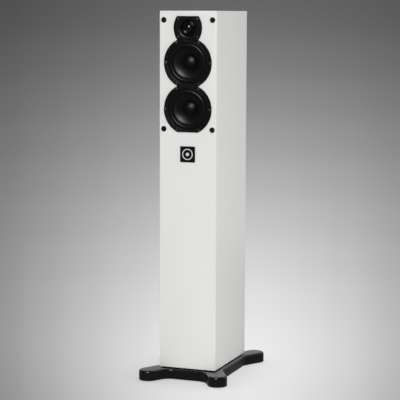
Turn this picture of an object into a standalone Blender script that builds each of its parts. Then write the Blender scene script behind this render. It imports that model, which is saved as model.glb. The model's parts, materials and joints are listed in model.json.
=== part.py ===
"""Floorstanding two-way loudspeaker on an outrigger plinth, as an assembly of
separate pieces.  Metres, +Z up.  The origin is on the floor under the middle
of the cabinet; the driver side faces -Y and +X is to the right seen from the
front.  Left and right are always as seen from the front.

Sizes are in millimetres and become metres where meshes and places are set.
Turned pieces are profiles of (radius, height) points about their own axis.
On the front the height is measured from the baffle's front face, positive
towards the listener; on the back, outwards from the back face.
"""
import math

import bmesh
import bpy
from mathutils import Matrix, Vector

MM = 0.001
GAP = 0.3                      # clearance between neighbouring pieces

# --- cabinet ---------------------------------------------------------------
WIDTH = 175.0
DEPTH = 265.0
HEIGHT = 1048.0
CAB_Z = 35.0                   # underside of the cabinet above the floor
BAFFLE_T = 22.0
SIDE_T = 16.0
TOP_T = 18.0                   # top and bottom panels
REAR_T = 16.0
BRACE_T = 18.0
BRACE_Z = (430.0, 706.0)       # middles of the two window braces
BRACE_WINDOW = (104, 160, 18)  # width, depth, corner radius

HALF_W = WIDTH / 2
FRONT_Y = -DEPTH / 2
BACK_Y = DEPTH / 2
TOP_Z = CAB_Z + HEIGHT
INNER_FRONT = FRONT_Y + BAFFLE_T + GAP    # front edge of the panels behind the baffle
INNER_X = HALF_W - SIDE_T - GAP           # half width of the panels between the sides

# --- plinth and feet -------------------------------------------------------
PLINTH_Z = 2.0                 # underside, the feet stand 2 mm proud of it
PLINTH_T = 30.0
PLINTH_MARGIN = 11.0           # past the cabinet on every side
PLINTH_ROUND = 6.0             # rounding of the top edge
PLINTH_CHAMFER = 1.0           # chamfer of the bottom edge
ARM_X, ARM_Y = 108.0, 168.5    # centres of the rounded arm ends
ARM_HALF = 28.5                # half width of an arm
ARM_ANGLE = 60.0               # arm axis from the X axis, degrees
ARM_FILLET = 40.0              # fillet where an arm meets the plinth
ARM_END_EASE = 0.2             # keeps the two fillets of an arm end apart
LAND_Z = CAB_Z - GAP           # top of the raised land under the cabinet
LAND_INSET = 9                 # land edge inside the cabinet edge
LAND_OVERLAP = 4               # how far the land reaches down into the plinth
FOOT_R = 18.0
FOOT_SEAT_Z = 3.0              # floor of the recess in the pad
STUD_R = 3.7
STUD_HEX_R, STUD_HEX_H = 6.9, 4.6

# --- drivers ---------------------------------------------------------------
TWEETER_Z = 1034.2
WOOFER_Z = (933.7, 800.4)      # upper, lower
FLANGE_PROUD = 3.5             # driver flanges stand this far off the baffle
FLANGE_BEVEL = 0.6
WOOFER_HOLE_R = 63.5
TWEETER_HOLE_R = 30.5

# --- small front pieces ----------------------------------------------------
SOCKET_X = 74.9
SOCKET_Z = (1056.6, 741.8)     # upper, lower
SOCKET_R = 8.2
SOCKET_HOLE_DEPTH = 12
BADGE = 46.4
BADGE_ROUND = 2.5
BADGE_BEVEL = 0.3
BADGE_Z = 669.6

# --- back ------------------------------------------------------------------
PORT_Z = 880.0
PORT_HOLE_R = 29.0
TERMINAL_Z = 180.0
TERMINAL_W, TERMINAL_H = 80.0, 60.0
TERMINAL_ROUND = 6
TERMINAL_FACE = 3.3            # outer face of the plate off the rear panel
TERMINAL_BEVEL = 0.6
TERMINAL_WINDOW = (60, 40, 5)  # width, height, corner radius
POST_X = 19.05 / 2             # half the usual post pitch

CUT_HALF = 30                  # half length of the window cutters


# ---------------------------------------------------------------------------
# scene and materials
# ---------------------------------------------------------------------------
for old in list(bpy.data.objects):
    bpy.data.objects.remove(old, do_unlink=True)

parts = bpy.data.collections.new("floorstanding_speaker")
cutters = bpy.data.collections.new("cutters")
for collection in (parts, cutters):
    bpy.context.scene.collection.children.link(collection)


def material(name, rgb, rough, metal=0.0):
    mat = bpy.data.materials.new(name)
    mat.use_nodes = True
    bsdf = mat.node_tree.nodes["Principled BSDF"]
    bsdf.inputs["Base Color"].default_value = (*rgb, 1.0)
    bsdf.inputs["Roughness"].default_value = rough
    bsdf.inputs["Metallic"].default_value = metal
    mat.diffuse_color = (*rgb, 1.0)
    return mat


LACQUER = material("cabinet_lacquer", rgb=(0.83, 0.84, 0.86), rough=0.22)
BOARD = material("raw_fibreboard", rgb=(0.45, 0.33, 0.21), rough=0.85)
PLINTH = material("plinth_black", rgb=(0.010, 0.010, 0.011), rough=0.16)
FRAME = material("driver_frame_black", rgb=(0.014, 0.014, 0.015), rough=0.42)
RUBBER = material("rubber_black", rgb=(0.016, 0.016, 0.017), rough=0.55)
CONE = material("cone_black", rgb=(0.020, 0.020, 0.021), rough=0.38)
DOME = material("dome_cloth", rgb=(0.018, 0.018, 0.019), rough=0.5)
CLOTH = material("spider_cloth", rgb=(0.62, 0.45, 0.20), rough=0.9)
COPPER = material("copper_winding", rgb=(0.78, 0.38, 0.17), rough=0.35, metal=1.0)
FERRITE = material("ferrite", rgb=(0.05, 0.05, 0.052), rough=0.6)
STEEL = material("plated_steel", rgb=(0.55, 0.55, 0.56), rough=0.35, metal=1.0)
MOULDED = material("moulded_plastic", rgb=(0.012, 0.012, 0.013), rough=0.45)
BADGE_BLACK = material("badge_black", rgb=(0.009, 0.009, 0.010), rough=0.2)
GOLD = material("gold_plate", rgb=(0.86, 0.62, 0.24), rough=0.22, metal=1.0)
POST_RED = material("post_red", rgb=(0.45, 0.02, 0.02), rough=0.35)
POST_BLACK = material("post_black", rgb=(0.02, 0.02, 0.02), rough=0.35)
CIRCUIT = material("circuit_board", rgb=(0.05, 0.16, 0.07), rough=0.45)
CAPACITOR = material("capacitor_film", rgb=(0.72, 0.55, 0.10), rough=0.35)
CABLE = material("cable_sheath", rgb=(0.03, 0.03, 0.03), rough=0.5)
WADDING = material("wadding", rgb=(0.85, 0.85, 0.82), rough=0.95)


# ---------------------------------------------------------------------------
# solids: a piece without a material is a helper and goes to the cutters
# ---------------------------------------------------------------------------
def link(name, data, mat):
    obj = bpy.data.objects.new(name, data)
    if mat is None:
        cutters.objects.link(obj)
    else:
        parts.objects.link(obj)
        data.materials.append(mat)
    return obj


def link_mesh(name, bm, mat):
    mesh = bpy.data.meshes.new(name)
    bm.to_mesh(mesh)
    bm.free()
    return link(name, mesh, mat)


# rotation that points a piece's local Z axis each way
TURN = {"up": (0.0, 0.0, 0.0),
        "front": (math.pi / 2, 0.0, 0.0),
        "back": (-math.pi / 2, 0.0, 0.0),
        "right": (0.0, math.pi / 2, 0.0)}


def put(obj, x, y, z, facing="up"):
    obj.location = (x * MM, y * MM, z * MM)
    obj.rotation_euler = TURN[facing]
    return obj


def block(name, mat, low, high):
    """Box between two corners, with its origin in its middle."""
    bm = bmesh.new()
    bmesh.ops.create_cube(bm, size=1.0)
    size = [(b - a) * MM for a, b in zip(low, high)]
    bmesh.ops.scale(bm, vec=size, verts=bm.verts)
    obj = link_mesh(name, bm, mat)
    return put(obj, *[(a + b) / 2 for a, b in zip(low, high)])


def round_bar(name, mat, radius, length, steps, middle=0.0):
    """Bar along local Z, its middle at a height above its origin."""
    bm = bmesh.new()
    bmesh.ops.create_cone(bm, cap_ends=True, segments=steps,
                          radius1=radius * MM, radius2=radius * MM,
                          depth=length * MM,
                          matrix=Matrix.Translation((0, 0, middle * MM)))
    return link_mesh(name, bm, mat)


def turned(name, mat, profile, steps, ring=False):
    """Profile of (radius, height) points turned about the local Z axis.

    It runs from the axis back to the axis, or closes on itself for a ring.
    """
    bm = bmesh.new()
    verts = [bm.verts.new((radius * MM, 0.0, height * MM))
             for radius, height in profile]
    for start, end in zip(verts, verts[1:]):
        bm.edges.new((start, end))
    if ring:
        bm.edges.new((verts[-1], verts[0]))
    obj = link_mesh(name, bm, mat)
    screw = obj.modifiers.new("turn", "SCREW")
    screw.axis = "Z"
    screw.angle = math.tau
    screw.steps = steps
    screw.render_steps = steps
    screw.use_merge_vertices = True
    screw.merge_threshold = 0.00001
    screw.use_smooth_shade = True
    return obj


def loft(name, mat, rings):
    """Solid through outlines [(outline, height), ...] from bottom to top.

    Every outline runs anticlockwise and holds the same number of points.
    """
    bm = bmesh.new()
    rows = [[bm.verts.new((x * MM, y * MM, z * MM)) for x, y in outline]
            for outline, z in rings]
    count = len(rows[0])
    for low, high in zip(rows, rows[1:]):
        for i in range(count):
            j = (i + 1) % count
            bm.faces.new((low[i], low[j], high[j], high[i]))
    bm.faces.new(rows[-1])
    bm.faces.new(list(reversed(rows[0])))
    return link_mesh(name, bm, mat)


def bevelled_plate(name, mat, outline, face_outline, shoulder, face):
    """Plate that clears the cabinet by GAP, bevelled from shoulder to face."""
    return loft(name, mat, [(outline, GAP), (outline, shoulder),
                            (face_outline, face)])


# ---------------------------------------------------------------------------
# outlines
# ---------------------------------------------------------------------------
def arc(centre_x, centre_y, radius, start, end, count):
    """Points on an arc, angles in degrees."""
    points = []
    for k in range(count + 1):
        angle = math.radians(start + (end - start) * k / count)
        points.append((centre_x + radius * math.cos(angle),
                       centre_y + radius * math.sin(angle)))
    return points


def crown(centre, radius, edge, count):
    """Domed profile from the axis down to an edge angle in degrees."""
    return [(0.0, centre + radius)] + arc(0, centre, radius, 90, edge, count)[1:]


def filleted(corners, steps):
    """Closed outline from (x, y, fillet radius) corners."""
    outline = []
    for i, (x, y, radius) in enumerate(corners):
        if radius <= 0:
            outline.append((x, y))
            continue
        corner = Vector((x, y))
        back = (Vector(corners[i - 1][:2]) - corner).normalized()
        ahead = (Vector(corners[(i + 1) % len(corners)][:2]) - corner).normalized()
        half = back.angle(ahead) / 2
        centre = corner + (back + ahead).normalized() * (radius / math.sin(half))
        start = corner + back * (radius / math.tan(half)) - centre
        end = corner + ahead * (radius / math.tan(half)) - centre
        first = math.atan2(start.y, start.x)
        sweep = (math.atan2(end.y, end.x) - first + math.pi) % math.tau - math.pi
        for k in range(steps + 1):
            angle = first + sweep * k / steps
            outline.append((centre.x + radius * math.cos(angle),
                            centre.y + radius * math.sin(angle)))
    return outline


def rounded_box(width, height, radius, steps=3):
    x, y = width / 2, height / 2
    return filleted([(x, -y, radius), (x, y, radius),
                     (-x, y, radius), (-x, -y, radius)], steps)


# ---------------------------------------------------------------------------
# cutting and joining
# ---------------------------------------------------------------------------
def boolean(obj, other, operation="DIFFERENCE"):
    mod = obj.modifiers.new(operation.lower(), "BOOLEAN")
    mod.operation = operation
    mod.solver = "EXACT"
    mod.object = other
    other.hide_render = True
    other.display_type = "WIRE"


def drill(obj, name, x, y, z, radius, length, steps):
    """Round hole along Y, its cutter centred on a point."""
    tool = round_bar(name, None, radius, length, steps)
    boolean(obj, put(tool, x, y, z, "front"))


def cut_window(obj, name, outline, x, y, z, facing="up"):
    tool = loft(name, None, [(outline, -CUT_HALF), (outline, CUT_HALF)])
    boolean(obj, put(tool, x, y, z, facing))


# ---------------------------------------------------------------------------
# cabinet
# ---------------------------------------------------------------------------
def build_baffle():
    baffle = block("front_baffle", LACQUER, (-HALF_W, FRONT_Y, CAB_Z),
                   (HALF_W, FRONT_Y + BAFFLE_T, TOP_Z))
    middle_y = FRONT_Y + BAFFLE_T / 2
    for i, z in enumerate(WOOFER_Z):
        drill(baffle, f"cut_woofer_{i}", 0, middle_y, z,
              radius=WOOFER_HOLE_R, length=80, steps=32)
    drill(baffle, "cut_tweeter", 0, middle_y, TWEETER_Z,
          radius=TWEETER_HOLE_R, length=80, steps=28)
    for i, z in enumerate(SOCKET_Z):
        for side in (-1, 1):
            # blind: only half of the cutter is inside the baffle
            drill(baffle, f"cut_socket_{i}_{side + 1}", side * SOCKET_X, FRONT_Y, z,
                  radius=SOCKET_R + GAP, length=2 * SOCKET_HOLE_DEPTH, steps=14)


def build_outer_panels():
    for side, word in ((-1, "left"), (1, "right")):
        low_x, high_x = sorted((side * HALF_W, side * (HALF_W - SIDE_T)))
        block(f"side_panel_{word}", LACQUER,
              (low_x, INNER_FRONT, CAB_Z), (high_x, BACK_Y, TOP_Z))
    for word, low_z, high_z in (("top", TOP_Z - TOP_T, TOP_Z),
                                ("bottom", CAB_Z, CAB_Z + TOP_T)):
        block(f"{word}_panel", LACQUER,
              (-INNER_X, INNER_FRONT, low_z), (INNER_X, BACK_Y, high_z))


def build_rear_panel():
    rear = block("rear_panel", LACQUER,
                 (-INNER_X, BACK_Y - REAR_T, CAB_Z + TOP_T + GAP),
                 (INNER_X, BACK_Y, TOP_Z - TOP_T - GAP))
    middle_y = BACK_Y - REAR_T / 2
    drill(rear, "cut_port", 0, middle_y, PORT_Z,
          radius=PORT_HOLE_R, length=60, steps=32)
    cut_window(rear, "cut_terminal", rounded_box(*TERMINAL_WINDOW),
               0, middle_y, TERMINAL_Z, "front")


def build_braces():
    brace_back = BACK_Y - REAR_T - GAP
    for z, word in zip(BRACE_Z, ("lower", "upper")):
        brace = block(f"brace_{word}", BOARD,
                      (-INNER_X, INNER_FRONT, z - BRACE_T / 2),
                      (INNER_X, brace_back, z + BRACE_T / 2))
        cut_window(brace, f"cut_brace_{word}", rounded_box(*BRACE_WINDOW, steps=4),
                   0, (INNER_FRONT + brace_back) / 2, z)


# ---------------------------------------------------------------------------
# plinth: a plate with four rounded arms reaching out past its corners
# ---------------------------------------------------------------------------
def plinth_outline(inset):
    along_x = math.cos(math.radians(ARM_ANGLE))
    along_y = math.sin(math.radians(ARM_ANGLE))
    half = ARM_HALF - inset
    edge_x = HALF_W + PLINTH_MARGIN - inset
    edge_y = DEPTH / 2 + PLINTH_MARGIN - inset
    # points on the arm's long sides, in the quarter with x > 0 and y > 0
    near_x, near_y = ARM_X - along_y * half, ARM_Y + along_x * half
    far_x, far_y = ARM_X + along_y * half, ARM_Y - along_x * half
    root_fillet = ARM_FILLET + inset
    end_fillet = half - ARM_END_EASE
    arm = [(near_x - along_x * (near_y - edge_y) / along_y, edge_y, root_fillet),
           (near_x + along_x * half, near_y + along_y * half, end_fillet),
           (far_x + along_x * half, far_y + along_y * half, end_fillet),
           (edge_x, far_y - along_y * (far_x - edge_x) / along_x, root_fillet)]
    corners = []
    for side_x, side_y in ((1, -1), (1, 1), (-1, 1), (-1, -1)):
        # a mirrored quarter runs the other way round
        quarter = reversed(arm) if side_x == side_y else arm
        corners += [(side_x * x, side_y * y, radius) for x, y, radius in quarter]
    return filleted(corners, 4)


def build_plinth():
    top = PLINTH_Z + PLINTH_T
    rings = [(plinth_outline(PLINTH_CHAMFER), PLINTH_Z),
             (plinth_outline(0.0), PLINTH_Z + PLINTH_CHAMFER)]
    for k in range(3):
        angle = math.radians(45 * k)
        rings.append((plinth_outline(PLINTH_ROUND * (1 - math.cos(angle))),
                      top - PLINTH_ROUND * (1 - math.sin(angle))))
    plinth = loft("plinth_base", PLINTH, rings)
    land_x, land_y = HALF_W - LAND_INSET, BACK_Y - LAND_INSET
    land = block("add_land", None, (-land_x, -land_y, top - LAND_OVERLAP),
                 (land_x, land_y, LAND_Z))
    boolean(plinth, land, "UNION")
    return plinth


# ---------------------------------------------------------------------------
# levelling feet: a pad that the stud carries, in a pocket under each arm
# ---------------------------------------------------------------------------
# (radius, height above the floor)
POCKET_PROFILE = [
    (0, 29), (STUD_R + 0.4, 29), (STUD_R + 0.4, 9.5), (FOOT_R + 1, 9.5),
    (FOOT_R + 1, -8), (0, -8)]
PAD_PROFILE = [
    (0, FOOT_SEAT_Z), (7.9, FOOT_SEAT_Z), (7.9, 8.6), (17.0, 8.6),
    (FOOT_R, 7.6), (FOOT_R, 1.2), (17.0, 0.0), (0, 0.0)]
SHANK_PROFILE = [(0, 27.5), (2.9, 27.5), (STUD_R, 26.5), (STUD_R, 5.0), (0, 5.0)]


def build_foot(plinth, word, x, y):
    pocket = turned(f"cut_foot_{word}", None, POCKET_PROFILE, 16)
    boolean(plinth, put(pocket, x, y, 0))
    put(turned(f"foot_pad_{word}", RUBBER, PAD_PROFILE, 16), x, y, 0)

    # hexagonal head resting in the pad, with the round shank added to it
    stud = round_bar(f"foot_stud_{word}", STEEL, STUD_HEX_R, STUD_HEX_H, steps=6,
                     middle=FOOT_SEAT_Z + GAP + STUD_HEX_H / 2)
    put(stud, x, y, 0)
    shank = turned(f"add_shank_{word}", None, SHANK_PROFILE, 12)
    boolean(stud, put(shank, x, y, 0), "UNION")


# ---------------------------------------------------------------------------
# woofers
# ---------------------------------------------------------------------------
WOOFER_R = 73.6
WOOFER_FLAT = 66.4             # half height left by the two flats
FLAT_CUT_HALF = (90, 20, 20)   # half sizes of the cutter for a flat
WOOFER_SCREW_R = 68.0          # radius of the screw circle
WOOFER_INNER_R = 60.0          # inner edge of the flange
WINDOW_HALF = (15, 11, 13)     # basket window: around, along axis, outwards
WINDOW_R, WINDOW_DEPTH = 57, 19    # window's middle: off the axis, behind the face

# outer lip, half roll and inner lip
ROLL_R = 51.5                  # middle of the half roll from the axis
LIP_TOP, LIP_UNDER = 2.1, 1.3
LIP_OUTER_R = WOOFER_INNER_R - GAP
LIP_INNER_R = 43.4

CONE_RADII = [42.6, 37.5, 31.0, 22.5, 13.7]
CONE_RIM_R = 45.2
CONE_RIM_TOP = 1.0
CONE_T = 1.0
CONE_DROP, CONE_FLARE = 8.0, 12.2  # linear and squared parts of the cone's fall

CAP_CENTRE = -42.4             # centre of the dust cap's sphere

SPIDER_R = (14.2, 38.2)        # first and last radius of the waves
SPIDER_T = 0.6

# motor stack, each level GAP behind the one before
BASKET_FLOOR = -46
PLATE_TOP = BASKET_FLOOR - GAP
PLATE_BACK = PLATE_TOP - 5
MAGNET_TOP = PLATE_BACK - GAP
MAGNET_BACK = MAGNET_TOP - 15
YOKE_TOP = MAGNET_BACK - GAP
YOKE_BACK = YOKE_TOP - 5.5

# (radius, height): flange, sloping wall, spider ledge and floor
BASKET_PROFILE = [
    (WOOFER_R, FLANGE_PROUD - FLANGE_BEVEL), (WOOFER_R, GAP), (62.6, GAP),
    (61.0, -5), (55.2, -29), (43.0, -41), (40.0, BASKET_FLOOR),
    (18.0, BASKET_FLOOR), (18.0, -43.5), (33.0, -43.5), (33.0, -38.0),
    (41.0, -38.0), (52.6, -28), (57.0, -6), (57.0, 1.0), (WOOFER_INNER_R, 1.0),
    (WOOFER_INNER_R, FLANGE_PROUD), (WOOFER_R - FLANGE_BEVEL, FLANGE_PROUD)]
WOOFER_COIL_PROFILE = [
    (13.2, -17.5), (13.2, -41), (13.8, -41), (13.8, -54), (12.7, -54),
    (12.7, -17.5)]
TOP_PLATE_PROFILE = [
    (38.0, PLATE_TOP), (38.0, PLATE_BACK), (14.5, PLATE_BACK), (14.5, PLATE_TOP)]
WOOFER_MAGNET_PROFILE = [
    (40.0, MAGNET_TOP), (40.0, MAGNET_BACK), (19.0, MAGNET_BACK),
    (19.0, MAGNET_TOP)]
WOOFER_YOKE_PROFILE = [
    (12.1, PLATE_TOP), (12.1, YOKE_TOP), (38.0, YOKE_TOP),
    (38.0, YOKE_BACK + 1), (37.0, YOKE_BACK), (4.0, YOKE_BACK), (4.0, PLATE_TOP)]


def surround_profile():
    return ([(LIP_OUTER_R, LIP_TOP), (LIP_OUTER_R, LIP_UNDER)]
            + arc(ROLL_R, 1.3, 5.4, 8, 172, 4)
            + [(LIP_INNER_R, LIP_UNDER), (LIP_INNER_R, LIP_TOP)]
            + arc(ROLL_R, 1.5, 6.2, 172, 8, 4))


def cone_profile():
    """Flared wall, steeper towards the neck, with a flat rim."""
    rim, neck = CONE_RADII[0], CONE_RADII[-1]
    wall = []
    for radius in CONE_RADII:
        inward = (rim - radius) / (rim - neck)
        wall.append((radius, CONE_RIM_TOP - CONE_DROP * inward
                     - CONE_FLARE * inward ** 2))
    return ([(CONE_RIM_R, CONE_RIM_TOP), (CONE_RIM_R, CONE_RIM_TOP - CONE_T)]
            + [(radius, height - CONE_T) for radius, height in wall]
            + wall[::-1])


def spider_profile():
    """Corrugated disc with a flat lip at each edge."""
    first, last = SPIDER_R
    waves = [(first + (last - first) * k / 6, -36.9 + (0.9 if k % 2 else -0.5))
             for k in range(7)]
    return ([(40.6, -37.0), (40.6, -37.7)]
            + [(radius, height - SPIDER_T) for radius, height in waves[::-1]]
            + [(13.5, -37.9), (13.5, -37.2)] + waves)


def cut_basket(frame, word, z):
    """Two flats, then six screw holes with a wall window after each."""
    half_x, half_y, half_z = FLAT_CUT_HALF
    for side in (-1, 1):
        middle = z + side * (WOOFER_FLAT + half_z)
        flat = block(f"cut_{word}_flat_{side + 1}", None,
                     (-half_x, FRONT_Y - half_y, middle - half_z),
                     (half_x, FRONT_Y + half_y, middle + half_z))
        boolean(frame, flat)
    for k in range(6):
        angle = math.radians(60 * k)
        drill(frame, f"cut_{word}_screw_{k}", WOOFER_SCREW_R * math.cos(angle),
              FRONT_Y, z + WOOFER_SCREW_R * math.sin(angle),
              radius=2.2, length=20, steps=8)
        # between two spokes, its local Z pointing away from the driver's axis
        angle = math.radians(60 * k + 30)
        window = block(f"cut_{word}_window_{k}", None,
                       [-size for size in WINDOW_HALF], WINDOW_HALF)
        put(window, WINDOW_R * math.cos(angle), FRONT_Y + WINDOW_DEPTH,
            z + WINDOW_R * math.sin(angle))
        window.rotation_euler = (0.0, math.pi / 2 - angle, 0.0)
        boolean(frame, window)


def build_woofer(word, z):
    def piece(name, mat, profile, steps, ring=True):
        obj = turned(f"{word}_{name}", mat, profile, steps, ring)
        return put(obj, 0, FRONT_Y, z, "front")

    cut_basket(piece("frame", FRAME, BASKET_PROFILE, 28), word, z)
    piece("surround", RUBBER, surround_profile(), 28)
    piece("cone", CONE, cone_profile(), 28)
    piece("dust_cap", CONE, crown(CAP_CENTRE, 36.0, 57.2, 3)
          + crown(CAP_CENTRE, 35.2, 57.0, 3)[::-1], 20, ring=False)
    piece("voice_coil", COPPER, WOOFER_COIL_PROFILE, 16)
    piece("spider", CLOTH, spider_profile(), 20)
    piece("top_plate", STEEL, TOP_PLATE_PROFILE, 20)
    piece("magnet", FERRITE, WOOFER_MAGNET_PROFILE, 20)
    piece("yoke", STEEL, WOOFER_YOKE_PROFILE, 20)


# ---------------------------------------------------------------------------
# tweeter
# ---------------------------------------------------------------------------
TWEETER_HALF_H = 33.7
TWEETER_HALF_W = 43.6
TWEETER_ARC_R = 59.7           # radius of the bowed sides
TWEETER_CORNER_R = 2.2
TWEETER_SCREW = (29.5, 25.8)   # screw holes, across and up from the middle
DOME_CENTRE = -14.64           # centre of the dome's sphere

# (radius, height)
COLLAR_PROFILE = [(0, 1.5), (26.4, 1.5), (26.4, -6.4), (0, -6.4)]
THROAT_PROFILE = [
    (0, 6), (28.9, 4.2), (26.2, 2.7), (22.8, 0.2), (20.4, -5.6), (20.4, -9),
    (0, -9)]
# dome's roll and outer lip: over the top, then back underneath
DOME_EDGE = [
    (14.1, -5.8), (17.0, -3.4), (19.4, -5.8), (19.9, -6.0),
    (19.9, -6.5), (19.1, -6.4), (17.0, -4.0), (14.3, -6.5)]
TWEETER_COIL_PROFILE = [(13.8, -6.9), (13.8, -12.5), (13.1, -12.5), (13.1, -6.9)]
TWEETER_MAGNET_PROFILE = [(29.0, -8.5), (29.0, -18.0), (14.6, -18.0), (14.6, -8.5)]
TWEETER_YOKE_PROFILE = [
    (12.4, -8.5), (12.4, -18.3), (29.0, -18.3), (29.0, -23.0), (4.0, -23.0),
    (4.0, -8.5)]
REAR_CUP_PROFILE = [
    (0, -39), (22, -39), (22, -23.3), (24, -23.3), (24, -41), (0, -41)]


def barrel_outline(inset):
    """Flat top and bottom, bowed sides, small corner radii."""
    half = TWEETER_HALF_H - inset
    radius = TWEETER_ARC_R - inset
    reach = math.degrees(math.asin(half / radius))
    right = arc(TWEETER_HALF_W - TWEETER_ARC_R, 0, radius, -reach, reach, 8)
    corners = [(x, y, TWEETER_CORNER_R if i in (0, len(right) - 1) else 0)
               for i, (x, y) in enumerate(right)]
    return filleted(corners + [(-x, -y, fillet) for x, y, fillet in corners], 3)


def build_tweeter():
    def at_tweeter(obj):
        return put(obj, 0, FRONT_Y, TWEETER_Z, "front")

    plate = at_tweeter(bevelled_plate(
        "tweeter_faceplate", FRAME, barrel_outline(0), barrel_outline(FLANGE_BEVEL),
        FLANGE_PROUD - FLANGE_BEVEL, FLANGE_PROUD))
    # collar behind the plate, then the flared throat down to the dome's seat
    collar = turned("add_collar", None, COLLAR_PROFILE, 32)
    boolean(plate, at_tweeter(collar), "UNION")
    throat = turned("cut_throat", None, THROAT_PROFILE, 32)
    boolean(plate, at_tweeter(throat))
    screw_x, screw_z = TWEETER_SCREW
    for side in (-1, 1):
        for up in (-1, 1):
            drill(plate, f"cut_tweeter_screw_{side + 1}{up + 1}", side * screw_x,
                  FRONT_Y, TWEETER_Z + up * screw_z, radius=2.0, length=20, steps=8)

    dome_profile = (crown(DOME_CENTRE, 16.0, 33.1, 4) + DOME_EDGE
                    + crown(DOME_CENTRE, 15.5, 33.0, 4)[::-1])
    for word, mat, profile, steps, ring in (
            ("diaphragm", DOME, dome_profile, 24, False),
            ("voice_coil", COPPER, TWEETER_COIL_PROFILE, 20, True),
            ("magnet", FERRITE, TWEETER_MAGNET_PROFILE, 24, True),
            ("yoke", STEEL, TWEETER_YOKE_PROFILE, 24, True),
            ("rear_cup", MOULDED, REAR_CUP_PROFILE, 24, False)):
        at_tweeter(turned(f"tweeter_{word}", mat, profile, steps, ring))


# ---------------------------------------------------------------------------
# grille sockets and badge
# ---------------------------------------------------------------------------
SOCKET_PROFILE = [
    (0, -8), (2.6, -8), (2.6, -0.8), (3.4, 0.0), (SOCKET_R - 0.4, 0.0),
    (SOCKET_R, -0.4), (SOCKET_R, -11.5), (0, -11.5)]


def build_grille_sockets():
    for z, row in zip(SOCKET_Z, ("upper", "lower")):
        for side, word in ((-1, "left"), (1, "right")):
            socket = turned(f"grille_socket_{row}_{word}", MOULDED, SOCKET_PROFILE, 14)
            put(socket, side * SOCKET_X, FRONT_Y, z, "front")


def build_badge():
    face = BADGE - 2 * BADGE_BEVEL
    badge = bevelled_plate(
        "badge_plate", BADGE_BLACK, rounded_box(BADGE, BADGE, BADGE_ROUND),
        rounded_box(face, face, BADGE_ROUND - BADGE_BEVEL), 1.5, 1.5 + BADGE_BEVEL)
    put(badge, 0, FRONT_Y, BADGE_Z, "front")


# ---------------------------------------------------------------------------
# back: reflex port, terminal plate and binding posts
# ---------------------------------------------------------------------------
PORT_PROFILE = [
    (35.2, 2.8), (36.0, 2.0), (36.0, GAP), (28.6, GAP), (28.6, -8),
    (25.0, -16), (25.0, -112), (22.6, -112), (22.6, -16), (23.6, -9),
    (25.6, -3.5), (29.6, 2.8)]
# (radius, height outwards from the terminal plate's face)
STEM_PROFILE = [
    (0, 5), (2.0, 5), (2.0, 22), (2.8, 22), (2.8, 3.3), (5.6, 3.3),
    (5.6, 0.3), (2.8, 0.3), (2.8, -16), (0, -16)]
WASHER_PROFILE = [(5.6, 5.1), (5.6, 3.6), (3.1, 3.6), (3.1, 5.1)]
KNOB_PROFILE = [
    (6.2, 21.5), (7.0, 20.7), (7.0, 6.2), (6.2, 5.4), (3.1, 5.4), (3.1, 21.5)]


def build_port():
    put(turned("port_tube", MOULDED, PORT_PROFILE, 24, ring=True),
        0, BACK_Y, PORT_Z, "back")


def build_terminal_plate():
    bevel = TERMINAL_BEVEL
    plate = bevelled_plate(
        "terminal_plate", MOULDED,
        rounded_box(TERMINAL_W, TERMINAL_H, TERMINAL_ROUND),
        rounded_box(TERMINAL_W - 2 * bevel, TERMINAL_H - 2 * bevel,
                    TERMINAL_ROUND - bevel),
        TERMINAL_FACE - bevel, TERMINAL_FACE)
    put(plate, 0, BACK_Y, TERMINAL_Z, "back")
    # the screw holes share their centres with the corner rounding
    screw_x = TERMINAL_W / 2 - TERMINAL_ROUND
    screw_z = TERMINAL_H / 2 - TERMINAL_ROUND
    for side in (-1, 1):
        drill(plate, f"cut_post_{side + 1}", side * POST_X, BACK_Y, TERMINAL_Z,
              radius=3.2, length=20, steps=12)
        for up in (-1, 1):
            drill(plate, f"cut_terminal_screw_{side + 1}{up + 1}", side * screw_x,
                  BACK_Y, TERMINAL_Z + up * screw_z, radius=1.9, length=20, steps=8)


def build_binding_posts():
    for side, word, knob_mat in ((-1, "red", POST_RED), (1, "black", POST_BLACK)):
        for name, mat, profile, ring in (("stem", GOLD, STEM_PROFILE, False),
                                         ("washer", GOLD, WASHER_PROFILE, True),
                                         ("knob", knob_mat, KNOB_PROFILE, True)):
            put(turned(f"post_{name}_{word}", mat, profile, 12, ring),
                side * POST_X, BACK_Y + TERMINAL_FACE, TERMINAL_Z, "back")


# ---------------------------------------------------------------------------
# inside: crossover, wiring and wadding
# ---------------------------------------------------------------------------
CIRCUIT_Z = CAB_Z + TOP_T + GAP    # underside of the crossover board
CIRCUIT_T = 2
CAPACITOR_R = 12
WADDING_CLEAR = 13             # between the wadding and each brace

# (radius, height above the underside)
WOOFER_INDUCTOR_PROFILE = [
    (27, 22), (27, 20), (25, 19), (25, 3), (27, 2), (27, 0), (9, 0), (9, 22)]
TWEETER_INDUCTOR_PROFILE = [
    (17, 14), (17, 12.6), (15.6, 12), (15.6, 2), (17, 1.4), (17, 0), (6, 0),
    (6, 14)]
# (radius, distance along the axis from the middle)
CAPACITOR_PROFILE = [
    (0, 22), (CAPACITOR_R - 1, 22), (CAPACITOR_R, 21), (CAPACITOR_R, -21),
    (CAPACITOR_R - 1, -22), (0, -22)]
# (x, y, z) from the crossover up to the tweeter
LOOM_KNOTS = [
    (30, 40, 70), (38, 52, 110), (40, 58, 200), (40, 60, 400), (40, 60, 600),
    (42, 58, 760), (46, 50, 900), (44, 30, 980), (30, -20, 1020), (12, -84, 1032)]


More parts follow.
